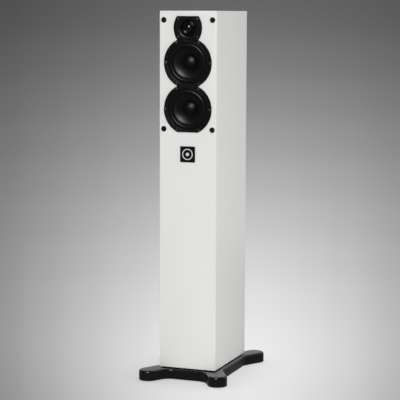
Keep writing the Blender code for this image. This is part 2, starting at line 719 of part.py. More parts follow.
def build_crossover():
    part_z = CIRCUIT_Z + CIRCUIT_T + GAP
    block("crossover_board", CIRCUIT, (-60, -50, CIRCUIT_Z),
          (60, 70, CIRCUIT_Z + CIRCUIT_T))
    put(turned("inductor_woofer", COPPER, WOOFER_INDUCTOR_PROFILE, 16, ring=True),
        -28, -18, part_z)
    put(turned("inductor_tweeter", COPPER, TWEETER_INDUCTOR_PROFILE, 14, ring=True),
        36, -26, part_z)
    put(turned("crossover_capacitor", CAPACITOR, CAPACITOR_PROFILE, 20),
        -20, 44, part_z + CAPACITOR_R, "right")


def loom_path():
    """Catmull-Rom curve through the knots, two steps to each span."""
    knots = [Vector(knot) for knot in LOOM_KNOTS]
    padded = [knots[0], *knots, knots[-1]]
    path = []
    for before, start, end, after in zip(padded, padded[1:], padded[2:], padded[3:]):
        for t in (0.0, 0.5):
            path.append(0.5 * ((2 * start) + (end - before) * t
                               + (2 * before - 5 * start + 4 * end - after) * t * t
                               + (3 * start - before - 3 * end + after) * t ** 3))
    return path + [knots[-1]]


def build_loom():
    loom = bpy.data.curves.new("wiring_loom", "CURVE")
    loom.dimensions = "3D"
    loom.bevel_depth = 2.5 * MM
    loom.bevel_resolution = 1
    loom.use_fill_caps = True
    loom.render_resolution_u = 0
    path = loom_path()
    spline = loom.splines.new("POLY")
    spline.points.add(len(path) - 1)
    for point, place in zip(spline.points, path):
        point.co = (place.x * MM, place.y * MM, place.z * MM, 1.0)
    link("wiring_loom", loom, CABLE)


def build_wadding():
    """Soft block of damping wool in the chamber between the braces."""
    inset = BRACE_T / 2 + WADDING_CLEAR
    wool = block("wadding_block", WADDING, (-64, -84, BRACE_Z[0] + inset),
                 (20, 20, BRACE_Z[1] - inset))
    soft = wool.modifiers.new("soft", "SUBSURF")
    soft.levels = 2
    soft.render_levels = 2


# ---------------------------------------------------------------------------
# assembly
# ---------------------------------------------------------------------------
build_baffle()
build_outer_panels()
build_rear_panel()
build_braces()
plinth_base = build_plinth()
for side_y, end_word in ((-1, "front"), (1, "rear")):
    for side_x, side_word in ((-1, "left"), (1, "right")):
        build_foot(plinth_base, f"{end_word}_{side_word}",
                   side_x * ARM_X, side_y * ARM_Y)
build_woofer("woofer_upper", WOOFER_Z[0])
build_woofer("woofer_lower", WOOFER_Z[1])
build_tweeter()
build_grille_sockets()
build_badge()
build_port()
build_terminal_plate()
build_binding_posts()
build_crossover()
build_loom()
build_wadding()

for part in parts.objects:
    if part.type == "MESH":
        part.data.shade_smooth()
        part.data.set_sharp_from_angle(angle=math.radians(32.0))
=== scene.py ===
"""Looks for a floorstanding two-woofer speaker: fine meshes and procedural
materials around the CAD frame, a pale floor, soft studio light and the camera.

The scene is in metres, +Z up.  The baffle faces -Y, the terminals face +Y and
the feet stand on z = 0.  Pieces are drawn in millimetres about their own axis:
local +Z is the way a piece faces, so heights count outward from the cabinet.
"""

import json
import math

import bmesh
import bpy
from mathutils import Matrix, Vector


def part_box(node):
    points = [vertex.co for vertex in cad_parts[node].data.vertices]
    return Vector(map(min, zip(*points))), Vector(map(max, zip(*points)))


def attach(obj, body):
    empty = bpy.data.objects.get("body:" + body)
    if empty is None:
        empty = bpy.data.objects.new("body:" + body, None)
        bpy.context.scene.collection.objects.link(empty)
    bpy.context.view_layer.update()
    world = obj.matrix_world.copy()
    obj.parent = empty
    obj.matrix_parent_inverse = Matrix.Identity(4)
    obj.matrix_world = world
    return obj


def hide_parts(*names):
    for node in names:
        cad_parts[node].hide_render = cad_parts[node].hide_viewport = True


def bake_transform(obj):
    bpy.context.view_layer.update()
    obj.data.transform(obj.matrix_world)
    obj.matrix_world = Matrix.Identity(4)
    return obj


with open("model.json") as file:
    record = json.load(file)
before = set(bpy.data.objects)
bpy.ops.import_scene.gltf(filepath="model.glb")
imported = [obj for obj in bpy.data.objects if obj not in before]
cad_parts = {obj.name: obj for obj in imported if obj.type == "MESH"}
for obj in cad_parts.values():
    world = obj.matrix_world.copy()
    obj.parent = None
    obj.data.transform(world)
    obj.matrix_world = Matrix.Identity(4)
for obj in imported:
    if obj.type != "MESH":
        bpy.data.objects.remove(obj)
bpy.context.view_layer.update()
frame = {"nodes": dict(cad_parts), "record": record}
MM = 0.001
SHARP_ANGLE = math.radians(30)

# rotation that points local +Z up, to the front (-Y) or to the back (+Y)
TURN = {"up": (0.0, 0.0, 0.0), "front": (math.pi / 2, 0.0, 0.0),
        "back": (-math.pi / 2, 0.0, 0.0)}


# ---------------------------------------------------------------------------
# objects
# ---------------------------------------------------------------------------
def mid(node):
    lo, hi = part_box(node)
    return (lo + hi) / 2


def mids(prefix):
    """Centres of the frame nodes whose names start with a prefix."""
    return {name: mid(name) for name in frame["nodes"] if name.startswith(prefix)}


def smooth(mesh):
    mesh.shade_smooth()
    mesh.set_sharp_from_angle(angle=SHARP_ANGLE)


def link_mesh(name, bm):
    mesh = bpy.data.meshes.new(name)
    bm.to_mesh(mesh)
    bm.free()
    smooth(mesh)
    obj = bpy.data.objects.new(name, mesh)
    bpy.context.scene.collection.objects.link(obj)
    return obj


def mesh_object(name, bm):
    bmesh.ops.recalc_face_normals(bm, faces=bm.faces)
    return link_mesh(name, bm)


def place(obj, point, facing="up"):
    obj.location = point
    obj.rotation_euler = TURN[facing]
    return obj


def apply_all(obj):
    """Bake an object's modifiers into its mesh."""
    bpy.context.view_layer.update()
    graph = bpy.context.evaluated_depsgraph_get()
    mesh = bpy.data.meshes.new_from_object(obj.evaluated_get(graph))
    old = obj.data
    obj.modifiers.clear()
    obj.data = mesh
    bpy.data.meshes.remove(old)
    smooth(mesh)
    return obj


def combine(obj, tool, operation="DIFFERENCE"):
    bpy.context.view_layer.update()
    mod = obj.modifiers.new("cut", "BOOLEAN")
    mod.operation = operation
    mod.solver = "EXACT"
    mod.object = tool
    apply_all(obj)
    bpy.data.objects.remove(tool, do_unlink=True)


def join(name, parts):
    """One mesh from several objects, their transforms applied."""
    bm = bmesh.new()
    bpy.context.view_layer.update()
    for part in parts:
        mesh = part.data.copy()
        mesh.transform(part.matrix_world)
        bm.from_mesh(mesh)
        bpy.data.meshes.remove(mesh)
    for part in parts:
        bpy.data.objects.remove(part, do_unlink=True)
    return link_mesh(name, bm)


# ---------------------------------------------------------------------------
# outlines and solids
# ---------------------------------------------------------------------------
def arc(cx, cy, radius, start, end, count):
    """Points from one angle to another, in degrees."""
    angles = [math.radians(start + (end - start) * k / count) for k in range(count + 1)]
    return [(cx + radius * math.cos(a), cy + radius * math.sin(a)) for a in angles]


def filleted(corners, steps, closed=True):
    """Outline from (x, y, fillet radius) corners."""
    points, count = [], len(corners)
    for i, (x, y, radius) in enumerate(corners):
        corner = Vector((x, y))
        if radius <= 1e-6 or (not closed and i in (0, count - 1)):
            points.append((x, y))
            continue
        to_last = (Vector(corners[i - 1][:2]) - corner).normalized()
        to_next = (Vector(corners[(i + 1) % count][:2]) - corner).normalized()
        half = to_last.angle(to_next) / 2
        if half > math.radians(89.5):       # nearly straight: nothing to round
            points.append((x, y))
            continue
        centre = corner + (to_last + to_next).normalized() * (radius / math.sin(half))
        start = corner + to_last * (radius / math.tan(half)) - centre
        end = corner + to_next * (radius / math.tan(half)) - centre
        first = math.atan2(start.y, start.x)
        turn = (math.atan2(end.y, end.x) - first + math.pi) % math.tau - math.pi
        points += [(centre.x + radius * math.cos(first + turn * k / steps),
                    centre.y + radius * math.sin(first + turn * k / steps))
                   for k in range(steps + 1)]
    return points


def rounded_rect(width, height, radius):
    """Function of an inset that gives the rectangle's outline."""
    def outline(inset):
        x, y = width / 2 - inset, height / 2 - inset
        fillet = max(radius - inset, 0.05)
        return filleted([(x, -y, fillet), (x, y, fillet),
                         (-x, y, fillet), (-x, -y, fillet)], 8)
    return outline


def flatted_round(half_width, half_height, radius, corner, least_corner, steps):
    """Function of an inset: arcs at left and right, flats at top and bottom."""
    def outline(inset):
        side, flat = radius - inset, half_height - inset
        reach = math.degrees(math.asin(flat / side))
        right = arc(half_width - radius, 0, side, -reach, reach, steps)
        fillet = max(corner - inset, least_corner)
        end_x = right[-1][0]
        half = [(x, y, fillet if i in (0, steps) else 0) for i, (x, y) in enumerate(right)]
        half += [(end_x - 2 * end_x * k / 16, flat, 0) for k in range(1, 16)]
        return filleted(half + [(-x, -y, r) for x, y, r in half], 4)
    return outline


def even(count):
    return [math.tau * k / count for k in range(count)]


def circle(radius, height, angles):
    """Ring of points, or a single point on the axis."""
    if radius <= 1e-6:
        return [(0.0, 0.0, height)]
    return [(radius * math.cos(a), radius * math.sin(a), height) for a in angles]


def hexagon(radius, height, angles):
    """Ring along a hexagon whose flats are `radius` from the axis."""
    points = []
    for a in angles:
        reach = radius / math.cos(a % (math.pi / 3) - math.pi / 6)
        points.append((reach * math.cos(a), reach * math.sin(a), height))
    return points


def sweep(name, rings, closed):
    """Skin through rings of (x, y, z) points that hold equal counts, or one.
    Closed joins the last ring to the first; otherwise the ends are capped."""
    bm = bmesh.new()
    rows = [[bm.verts.new([c * MM for c in point]) for point in ring] for ring in rings]
    pairs = list(zip(rows, rows[1:]))
    if closed:
        pairs.append((rows[-1], rows[0]))
    for low, high in pairs:
        count = max(len(low), len(high))
        for i in range(count):
            j = (i + 1) % count
            if len(low) == 1:
                bm.faces.new((low[0], high[j], high[i]))
            elif len(high) == 1:
                bm.faces.new((low[i], low[j], high[0]))
            else:
                bm.faces.new((low[i], low[j], high[j], high[i]))
    if not closed:
        for row in (rows[0], rows[-1]):
            if len(row) > 2:
                bm.faces.new(row)
    return mesh_object(name, bm)


def spin(name, points, segs, closed=False):
    """Turn plain (radius, height) points about local Z."""
    return sweep(name, [circle(r, h, even(segs)) for r, h in points], closed)


def lathe(name, profile, segs, closed=False):
    """Turn (radius, height[, fillet]) corners about local Z.  Not closed means
    the profile starts and ends on the axis."""
    corners = [(*corner, 0)[:3] for corner in profile]
    return spin(name, filleted(corners, 4, closed), segs, closed)


def slab(name, outline, low, high, edge_top, edge_low, steps):
    """Plate whose outline(inset) is known, with both edges rounded."""
    angles = [math.pi / 2 * k / steps for k in range(steps + 1)]
    levels = [(edge_low * (1 - math.sin(a)), low + edge_low * (1 - math.cos(a)))
              for a in angles]
    levels += [(edge_top * (1 - math.cos(a)), high - edge_top * (1 - math.sin(a)))
               for a in angles]
    return sweep(name, [[(x, y, h) for x, y in outline(inset)] for inset, h in levels],
                 False)


def drill(obj, radius, low, high, segs, spots=((0, 0),), point=(0, 0, 0), facing="up"):
    """Cut round holes along the local Z of a placed tool."""
    bm = bmesh.new()
    for x, y in spots:
        bmesh.ops.create_cone(
            bm, cap_ends=True, segments=segs, radius1=radius * MM,
            radius2=radius * MM, depth=(high - low) * MM,
            matrix=Matrix.Translation((x * MM, y * MM, (low + high) / 2 * MM)))
    combine(obj, place(mesh_object("cut", bm), point, facing))


def four_corners(x, y):
    return [(sx * x, sy * y) for sx in (-1, 1) for sy in (-1, 1)]


# ---------------------------------------------------------------------------
# materials
# ---------------------------------------------------------------------------
MATS = {}
NOISE_RANGE = (0.3, 0.7)        # where most of a noise texture's values lie
FULL_RANGE = (0.0, 1.0)


def add_node(tree, kind, inputs=(), **props):
    """New node; each input is given a value or linked to a socket."""
    node = tree.nodes.new(kind)
    for key, value in props.items():
        setattr(node, key, value)
    for key, value in dict(inputs).items():
        if isinstance(value, bpy.types.NodeSocket):
            tree.links.new(value, node.inputs[key])
        else:
            node.inputs[key].default_value = value
    return node


class Paint:
    """A Principled material, kept in MATS, with helpers for its node graph."""

    def __init__(self, name, color, rough, metal=0.0):
        material = bpy.data.materials.new(name)
        material.use_nodes = True
        material.diffuse_color = (*color, 1)
        MATS[name] = material
        self.tree = material.node_tree
        self.shader = self.tree.nodes["Principled BSDF"]
        self.color = color
        self.rough = rough
        self.set(Base_Color=(*color, 1), Roughness=rough, Metallic=metal)
        self.coord = self.node("ShaderNodeTexCoord").outputs["Object"]
        self.normal = None

    def set(self, **values):
        for key, value in values.items():
            self.shader.inputs[key.replace("_", " ")].default_value = value

    def node(self, kind, inputs=(), **props):
        return add_node(self.tree, kind, inputs, **props)

    def link(self, socket, name):
        self.tree.links.new(socket, self.shader.inputs[name])

    def noise(self, scale, detail=3.0, rough=0.5, stretch=None, distort=0.0):
        vector = self.coord
        if stretch:
            vector = self.node("ShaderNodeMapping", {
                "Vector": vector, "Scale": stretch}).outputs["Vector"]
        return self.node("ShaderNodeTexNoise", {
            "Vector": vector, "Scale": scale, "Detail": detail, "Roughness": rough,
            "Distortion": distort}).outputs["Fac"]

    def bands(self, scale, direction, distort=0.0):
        return self.wave(scale, distort, wave_type="BANDS", bands_direction=direction)

    def wave(self, scale, distort, **props):
        return self.node("ShaderNodeTexWave", {
            "Vector": self.coord, "Scale": scale, "Distortion": distort,
            "Detail": 1.0}, **props).outputs["Fac"]

    def weave(self, scale):
        across = self.bands(scale, "X")
        along = self.bands(scale, "Y")
        return self.node("ShaderNodeMath", {0: across, 1: along},
                         operation="MULTIPLY").outputs[0]

    def span(self, fac, low, high, source=NOISE_RANGE):
        return self.node("ShaderNodeMapRange", {
            "Value": fac, "From Min": source[0], "From Max": source[1],
            "To Min": low, "To Max": high}).outputs["Result"]

    def tint(self, fac, low, high, source=NOISE_RANGE):
        """Base colour between two colours by a factor."""
        mix = self.node("ShaderNodeMix", data_type="RGBA")
        self.tree.links.new(self.span(fac, 0.0, 1.0, source), mix.inputs["Factor"])
        mix.inputs["A"].default_value = (*low, 1)
        mix.inputs["B"].default_value = (*high, 1)
        self.link(next(s for s in mix.outputs if s.type == "RGBA"), "Base Color")

    def mottle(self, fac, amount, source=NOISE_RANGE):
        """Vary the base colour by a share of itself."""
        self.tint(fac, tuple(max(0.0, c * (1 - amount)) for c in self.color),
                  tuple(min(1.0, c * (1 + amount)) for c in self.color), source)

    def gloss(self, fac, amount):
        """Vary the roughness up and down by an amount."""
        self.link(self.span(fac, max(0.02, self.rough - amount), self.rough + amount),
                  "Roughness")

    def bump(self, height, strength, depth):
        """Add a bump, depth in mm, over any earlier one."""
        inputs = {"Strength": strength, "Distance": depth * MM, "Height": height}
        if self.normal is not None:
            inputs["Normal"] = self.normal
        self.normal = self.node("ShaderNodeBump", inputs).outputs["Normal"]
        self.link(self.normal, "Normal")


paint = Paint("cabinet_lacquer", color=(0.80, 0.797, 0.78), rough=0.42)
paint.set(Coat_Weight=0.25, Coat_Roughness=0.22)
paint.mottle(paint.noise(scale=3.0, detail=2), amount=0.008)
paint.gloss(paint.noise(scale=260), amount=0.02)
paint.bump(paint.noise(scale=700, detail=2, rough=0.4), strength=0.035, depth=0.05)

paint = Paint("raw_fibreboard", color=(0.42, 0.31, 0.20), rough=0.85)
paint.tint(paint.noise(scale=900, detail=5, rough=0.7),
           low=(0.34, 0.24, 0.15), high=(0.52, 0.40, 0.27))
paint.bump(paint.noise(scale=1400, detail=4), strength=0.3, depth=0.15)

paint = Paint("plinth_black", color=(0.0032, 0.0032, 0.0036), rough=0.26)
paint.set(Coat_Weight=0.33, Coat_Roughness=0.15, Specular_IOR_Level=0.32)
paint.mottle(paint.noise(scale=30), amount=0.25)
paint.gloss(paint.noise(scale=160, detail=4), amount=0.05)
paint.bump(paint.noise(scale=500, detail=2, rough=0.4), strength=0.03, depth=0.04)

paint = Paint("driver_frame_black", color=(0.0045, 0.0045, 0.0048), rough=0.31)
paint.set(Specular_IOR_Level=0.26)
paint.mottle(paint.noise(scale=200), amount=0.25)
paint.gloss(paint.noise(scale=500, detail=4), amount=0.06)
paint.bump(paint.noise(scale=2200, rough=0.6), strength=0.22, depth=0.06)

paint = Paint("rubber_black", color=(0.0042, 0.0042, 0.0045), rough=0.32)
paint.set(Specular_IOR_Level=0.23)
paint.mottle(paint.noise(scale=120, detail=4), amount=0.2)
paint.gloss(paint.noise(scale=260), amount=0.05)
paint.bump(paint.noise(scale=1500), strength=0.12, depth=0.05)

for name, specular in (("cone_black", 0.31), ("cap_black", 0.245)):
    paint = Paint(name, color=(0.0028, 0.0028, 0.003), rough=0.38)
    paint.set(Specular_IOR_Level=specular)
    ripples = paint.wave(scale=260, distort=0.6, wave_type="RINGS",
                         rings_direction="SPHERICAL")
    paint.mottle(paint.noise(scale=90, detail=4), amount=0.2)
    paint.gloss(paint.noise(scale=180, detail=4), amount=0.05)
    paint.bump(ripples, strength=0.05, depth=0.05)
    paint.bump(paint.noise(scale=1300, detail=4, rough=0.6), strength=0.10, depth=0.05)

paint = Paint("dome_cloth", color=(0.0045, 0.0045, 0.005), rough=0.155)
weave = paint.weave(scale=700)
paint.mottle(weave, amount=0.3, source=FULL_RANGE)
paint.gloss(paint.noise(scale=300), amount=0.03)
paint.bump(weave, strength=0.04, depth=0.03)
# the dome shines more than its roll, which starts 15 mm from the axis
axis = mid("tweeter_faceplate")
offset = paint.node("ShaderNodeVectorMath", {
    0: paint.node("ShaderNodeNewGeometry").outputs["Position"],
    1: (axis.x, 0.0, axis.z)}, operation="SUBTRACT")
flat_offset = paint.node("ShaderNodeVectorMath", {
    0: offset.outputs[0], 1: (1.0, 0.0, 1.0)}, operation="MULTIPLY")
distance = paint.node("ShaderNodeVectorMath", {0: flat_offset.outputs[0]},
                      operation="LENGTH")
paint.link(paint.span(distance.outputs["Value"], low=0.72, high=0.34,
                      source=(0.0140, 0.0150)), "Specular IOR Level")

paint = Paint("spider_cloth", color=(0.60, 0.44, 0.20), rough=0.9)
weave = paint.weave(scale=450)
paint.mottle(weave, amount=0.35, source=FULL_RANGE)
paint.bump(weave, strength=0.6, depth=0.2)

paint = Paint("copper_winding", color=(0.78, 0.38, 0.17), rough=0.32, metal=1.0)
turns = paint.bands(scale=420, direction="Z")
paint.mottle(paint.noise(scale=60, detail=2), amount=0.15)
paint.gloss(paint.noise(scale=200, detail=2), amount=0.05)
paint.bump(turns, strength=0.7, depth=0.3)

paint = Paint("ferrite", color=(0.05, 0.05, 0.052), rough=0.62)
paint.mottle(paint.noise(scale=350, detail=5, rough=0.7), amount=0.3)
paint.gloss(paint.noise(scale=90), amount=0.1)
paint.bump(paint.noise(scale=1200, detail=4), strength=0.3, depth=0.1)

paint = Paint("plated_steel", color=(0.56, 0.56, 0.57), rough=0.34, metal=1.0)
paint.mottle(paint.noise(scale=60, detail=4), amount=0.1)
paint.gloss(paint.noise(scale=260, stretch=(1, 1, 12)), amount=0.1)
paint.bump(paint.noise(scale=500, stretch=(1, 1, 14)), strength=0.08, depth=0.05)

paint = Paint("screw_black", color=(0.15, 0.15, 0.152), rough=0.30, metal=0.9)
paint.mottle(paint.noise(scale=400), amount=0.2)
paint.gloss(paint.noise(scale=700), amount=0.08)
paint.bump(paint.noise(scale=2500, detail=2), strength=0.1, depth=0.03)

paint = Paint("moulded_plastic", color=(0.0045, 0.0045, 0.005), rough=0.38)
paint.mottle(paint.noise(scale=150), amount=0.2)
paint.gloss(paint.noise(scale=400), amount=0.06)
paint.bump(paint.noise(scale=1800, detail=2, rough=0.7), strength=0.35, depth=0.05)

paint = Paint("badge_black", color=(0.005, 0.005, 0.0055), rough=0.18)
paint.set(Coat_Weight=0.5, Coat_Roughness=0.04)
paint.mottle(paint.noise(scale=80, detail=2), amount=0.2)
paint.gloss(paint.noise(scale=150), amount=0.03)
paint.bump(paint.noise(scale=900, detail=2), strength=0.02, depth=0.03)

paint = Paint("badge_silver", color=(0.74, 0.74, 0.73), rough=0.34, metal=0.25)
paint.gloss(paint.noise(scale=900, detail=2, stretch=(1, 9, 1)), amount=0.06)
paint.mottle(paint.noise(scale=600, detail=2), amount=0.06)

paint = Paint("gold_plate", color=(0.86, 0.62, 0.24), rough=0.22, metal=1.0)
paint.mottle(paint.noise(scale=120), amount=0.08)
paint.gloss(paint.noise(scale=600), amount=0.06)
paint.bump(paint.noise(scale=1600, detail=2), strength=0.04, depth=0.03)

for name, color in (("post_red", (0.42, 0.012, 0.012)),
                    ("post_black", (0.015, 0.015, 0.016))):
    paint = Paint(name, color, rough=0.30)
    paint.set(Coat_Weight=0.3, Coat_Roughness=0.1)
    paint.mottle(paint.noise(scale=200), amount=0.12)
    paint.gloss(paint.noise(scale=500), amount=0.05)
    paint.bump(paint.noise(scale=1500, detail=2), strength=0.08, depth=0.03)

paint = Paint("circuit_board", color=(0.04, 0.15, 0.06), rough=0.42)
tracks = paint.node("ShaderNodeTexBrick", {
    "Vector": paint.coord, "Scale": 60, "Mortar Size": 0.06}).outputs["Fac"]
paint.mottle(tracks, amount=0.35, source=FULL_RANGE)
paint.gloss(paint.noise(scale=300), amount=0.06)
paint.bump(tracks, strength=0.15, depth=0.05)

paint = Paint("capacitor_film", color=(0.70, 0.53, 0.10), rough=0.30)
paint.mottle(paint.noise(scale=80), amount=0.1)
paint.gloss(paint.noise(scale=200), amount=0.05)
paint.bump(paint.bands(scale=160, direction="Z"), strength=0.1, depth=0.1)

paint = Paint("cable_sheath", color=(0.025, 0.025, 0.025), rough=0.5)
paint.mottle(paint.noise(scale=200), amount=0.2)
paint.bump(paint.bands(scale=300, direction="Z", distort=1), strength=0.2, depth=0.2)

paint = Paint("wadding", color=(0.84, 0.84, 0.81), rough=0.95)
paint.set(Sheen_Weight=0.4)
paint.mottle(paint.noise(scale=180, detail=6, rough=0.8, distort=2.0), amount=0.12)
paint.bump(paint.noise(scale=260, detail=6, rough=0.8, distort=2.0),
           strength=0.9, depth=2.0)

for part in frame["record"]["subparts"]:
    node = frame["nodes"][part["node"]]
    node.data.materials.clear()
    node.data.materials.append(MATS[part["material_slot"]])


# ---------------------------------------------------------------------------
# finishing pieces: material, body, and hiding the frame parts they replace
# ---------------------------------------------------------------------------
def finish(obj, slot, replaced=None, body="root", material=None):
    """Fix a piece to a body; its material is its slot's unless another is named."""
    obj.data.materials.clear()
    obj.data.materials.append(MATS[material or slot])
    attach(obj, body)
    if replaced:
        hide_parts(replaced)


def finish_flexing(obj, slot, replaced):
    """Finish a ring that faces front: give it its slot's material, bake its placement into
    its mesh and hide the frame part it replaces."""
    obj.data.materials.append(MATS[slot])
    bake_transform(obj)
    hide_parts(replaced)


# ---------------------------------------------------------------------------
# cabinet: lacquered panels that meet flush, only the outer edges rounded
# ---------------------------------------------------------------------------
CAB_LO, BAFFLE_HI = map(Vector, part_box("front_baffle"))
CAB_HI = Vector((BAFFLE_HI.x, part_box("rear_panel")[1].y, BAFFLE_HI.z))
FRONT_Y, BACK_Y = CAB_LO.y, CAB_HI.y
INNER_LEFT_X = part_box("side_panel_left")[1].x
INNER_RIGHT_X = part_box("side_panel_right")[0].x
TOP_PANEL_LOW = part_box("top_panel")[0].z
BOTTOM_PANEL_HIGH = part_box("bottom_panel")[1].z

PANEL_EDGE = 0.6
WOOFER_HOLE_R = 63.5
TWEETER_HOLE_R = 30.5
SOCKET_HOLE_R = 8.4
PORT_HOLE_R = 29.0
THROUGH = {"low": -40, "high": 40}      # reach of tools that cut right through


def panel(name, lo, hi, replaced, finished=True):
    bm = bmesh.new()
    bmesh.ops.create_cube(bm, size=1.0)
    for vert in bm.verts:
        for k in range(3):
            vert.co[k] = hi[k] if vert.co[k] > 0 else lo[k]
    weights = bm.edges.layers.float.new("bevel_weight_edge")
    for edge in bm.edges:
        start, end = (vert.co for vert in edge.verts)
        outer_faces = sum(
            abs(start[k] - end[k]) < 1e-6
            and any(abs(start[k] - side[k]) < 1e-5 for side in (CAB_LO, CAB_HI))
            for k in range(3))
        edge[weights] = 1.0 if outer_faces >= 2 else 0.0
    obj = mesh_object(name, bm)
    mod = obj.modifiers.new("edge", "BEVEL")
    mod.limit_method = "WEIGHT"
    mod.width = PANEL_EDGE * MM
    mod.segments = 4
    apply_all(obj)
    if finished:
        finish(obj, "cabinet_lacquer", replaced)
    return obj


WOOFERS = {word: mid(f"woofer_{word}_frame") for word in ("upper", "lower")}
TWEETER = mid("tweeter_faceplate")
SOCKETS = mids("grille_socket")

baffle = panel("baffle_lacquered", CAB_LO, Vector((CAB_HI.x, BAFFLE_HI.y, CAB_HI.z)),
               "front_baffle", finished=False)
for centre, radius in [(c, WOOFER_HOLE_R) for c in WOOFERS.values()] + [
        (TWEETER, TWEETER_HOLE_R)]:
    drill(baffle, radius, **THROUGH, segs=96, point=(0, FRONT_Y, centre.z),
          facing="front")
for centre in SOCKETS.values():
    drill(baffle, SOCKET_HOLE_R, low=-12, high=20, segs=56,
          point=(centre.x, FRONT_Y, centre.z), facing="front")
finish(baffle, "cabinet_lacquer", "front_baffle")

for word in ("left", "right"):
    lo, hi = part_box(f"side_panel_{word}")
    panel(f"side_{word}_lacquered", Vector((lo.x, BAFFLE_HI.y, lo.z)), hi,
          f"side_panel_{word}")
panel("top_lacquered", Vector((INNER_LEFT_X, BAFFLE_HI.y, TOP_PANEL_LOW)),
      Vector((INNER_RIGHT_X, BACK_Y, CAB_HI.z)), "top_panel")
panel("bottom_lacquered", Vector((INNER_LEFT_X, BAFFLE_HI.y, CAB_LO.z)),
      Vector((INNER_RIGHT_X, BACK_Y, BOTTOM_PANEL_HIGH)), "bottom_panel")

PORT_POINT = (0, BACK_Y, mid("port_tube").z)
TERMINAL_POINT = (0, BACK_Y, mid("terminal_plate").z)
rear = panel("rear_lacquered",
             Vector((INNER_LEFT_X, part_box("rear_panel")[0].y, BOTTOM_PANEL_HIGH)),
             Vector((INNER_RIGHT_X, BACK_Y, TOP_PANEL_LOW)), "rear_panel", finished=False)
drill(rear, PORT_HOLE_R, **THROUGH, segs=96, point=PORT_POINT, facing="back")
opening = slab("cut", rounded_rect(width=60, height=40, radius=5), **THROUGH,
               edge_top=0.6, edge_low=0.3, steps=5)
combine(rear, place(opening, TERMINAL_POINT, "back"))
finish(rear, "cabinet_lacquer", "rear_panel")

# ---------------------------------------------------------------------------
# plinth: a slab with four round-ended arms, and a raised land under the cabinet
# ---------------------------------------------------------------------------
plinth_lo, plinth_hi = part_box("plinth_base")
PLINTH_LOW = plinth_lo.z / MM
PLINTH_TOP = PLINTH_LOW + 30.0
CAB_HALF_W = CAB_HI.x / MM
CAB_HALF_D = CAB_HI.y / MM
PLINTH_MARGIN = 11.0            # beyond the cabinet, between the arms
ARM_X, ARM_Y = 108.0, 168.5     # middle of an arm's end
ARM_HALF = 28.5                 # half its width
ARM_COS, ARM_SIN = math.cos(math.radians(60)), math.sin(math.radians(60))
ARM_ROOT_FILLET = 40.0
LAND_INSET = 9


def plinth_outline(inset):
    half = ARM_HALF - inset
    side_x = CAB_HALF_W + PLINTH_MARGIN - inset
    side_y = CAB_HALF_D + PLINTH_MARGIN - inset
    root, tip = ARM_ROOT_FILLET + inset, half - 0.2
    # the arm's two long edges pass through these points
    near_x, near_y = ARM_X - ARM_SIN * half, ARM_Y + ARM_COS * half
    far_x, far_y = ARM_X + ARM_SIN * half, ARM_Y - ARM_COS * half
    arm = [(near_x - ARM_COS * (near_y - side_y) / ARM_SIN, side_y, root),
           (near_x + ARM_COS * half, near_y + ARM_SIN * half, tip),
           (far_x + ARM_COS * half, far_y + ARM_SIN * half, tip),
           (side_x, far_y - ARM_SIN * (far_x - side_x) / ARM_COS, root)]
    corners = [(x, -y, r) for x, y, r in arm] + arm[::-1]
    corners += [(-x, y, r) for x, y, r in arm]
    corners += [(-x, -y, r) for x, y, r in reversed(arm)]
    return filleted(corners, 18)


plinth = slab("plinth_lacquered", plinth_outline, PLINTH_LOW, PLINTH_TOP,
              edge_top=6.0, edge_low=1.2, steps=9)
land = slab("land", rounded_rect(2 * CAB_HALF_W - 2 * LAND_INSET,
                                 2 * CAB_HALF_D - 2 * LAND_INSET, radius=2),
            PLINTH_TOP - 4, plinth_hi.z / MM, edge_top=0.2, edge_low=0.2, steps=2)
combine(plinth, land, "UNION")

FEET = {name.removeprefix("foot_pad_"): c for name, c in mids("foot_pad_").items()}
# (radius, height[, fillet]) of the stepped hole above each foot
FOOT_HOLE = [(0, 29), (4.1, 29), (4.1, 9.5), (19, 9.5), (19, -8), (0, -8)]
for centre in FEET.values():
    combine(plinth, place(lathe("cut", FOOT_HOLE, 48), (centre.x, centre.y, 0)))
finish(plinth, "plinth_black", "plinth_base")

# (radius, height[, fillet]) of the rubber pad, grooved at its side and below
FOOT_PAD = [
    (0, 3.0), (7.9, 3.0, 0.3), (7.9, 8.6, 0.5), (17.0, 8.6, 0.8), (18.0, 7.4, 0.5),
    (18.0, 5.2, 0.2), (17.4, 4.8, 0.2), (17.4, 4.2, 0.2), (18.0, 3.8, 0.2),
    (18.0, 1.0, 0.9), (16.4, 0.0, 0.3), (13.0, 0.0, 0.2), (12.6, 0.5, 0.2),
    (9.0, 0.5, 0.2), (8.6, 0.0, 0.2), (0, 0.0)]
THREAD_LOW, THREAD_PITCH, THREAD_TURNS = 8.4, 1.25, 13
# (radius, height above the turn's foot) of one ridge
THREAD_RIDGE = [(3.25, 0), (3.7, 0.45), (3.7, 0.60), (3.25, 1.05)]


def foot_stud(name):
    """Hexagon head with a ridged shank above it."""
    angles = even(48)
    rings = [[(0, 0, 3.3)], circle(5.2, 3.3, angles), hexagon(5.95, 3.7, angles),
             hexagon(5.98, 7.4, angles), circle(5.6, 7.9, angles),
             circle(3.8, 7.9, angles)]
    for k in range(THREAD_TURNS):
        low = THREAD_LOW + THREAD_PITCH * k
        rings += [circle(r, low + h, angles) for r, h in THREAD_RIDGE]
    rings += [circle(3.0, 26.6, angles), circle(2.6, 27.4, angles), [(0, 0, 27.4)]]
    return sweep(name, rings, False)


for word, centre in FEET.items():
    point = (centre.x, centre.y, 0)
    pad = lathe(f"foot_{word}_pad", FOOT_PAD, 72)
    finish(place(pad, point), "rubber_black", f"foot_pad_{word}", f"foot_{word}")
    stud = foot_stud(f"foot_{word}_stud")
    finish(place(stud, point), "plated_steel", f"foot_stud_{word}", f"stud_{word}")


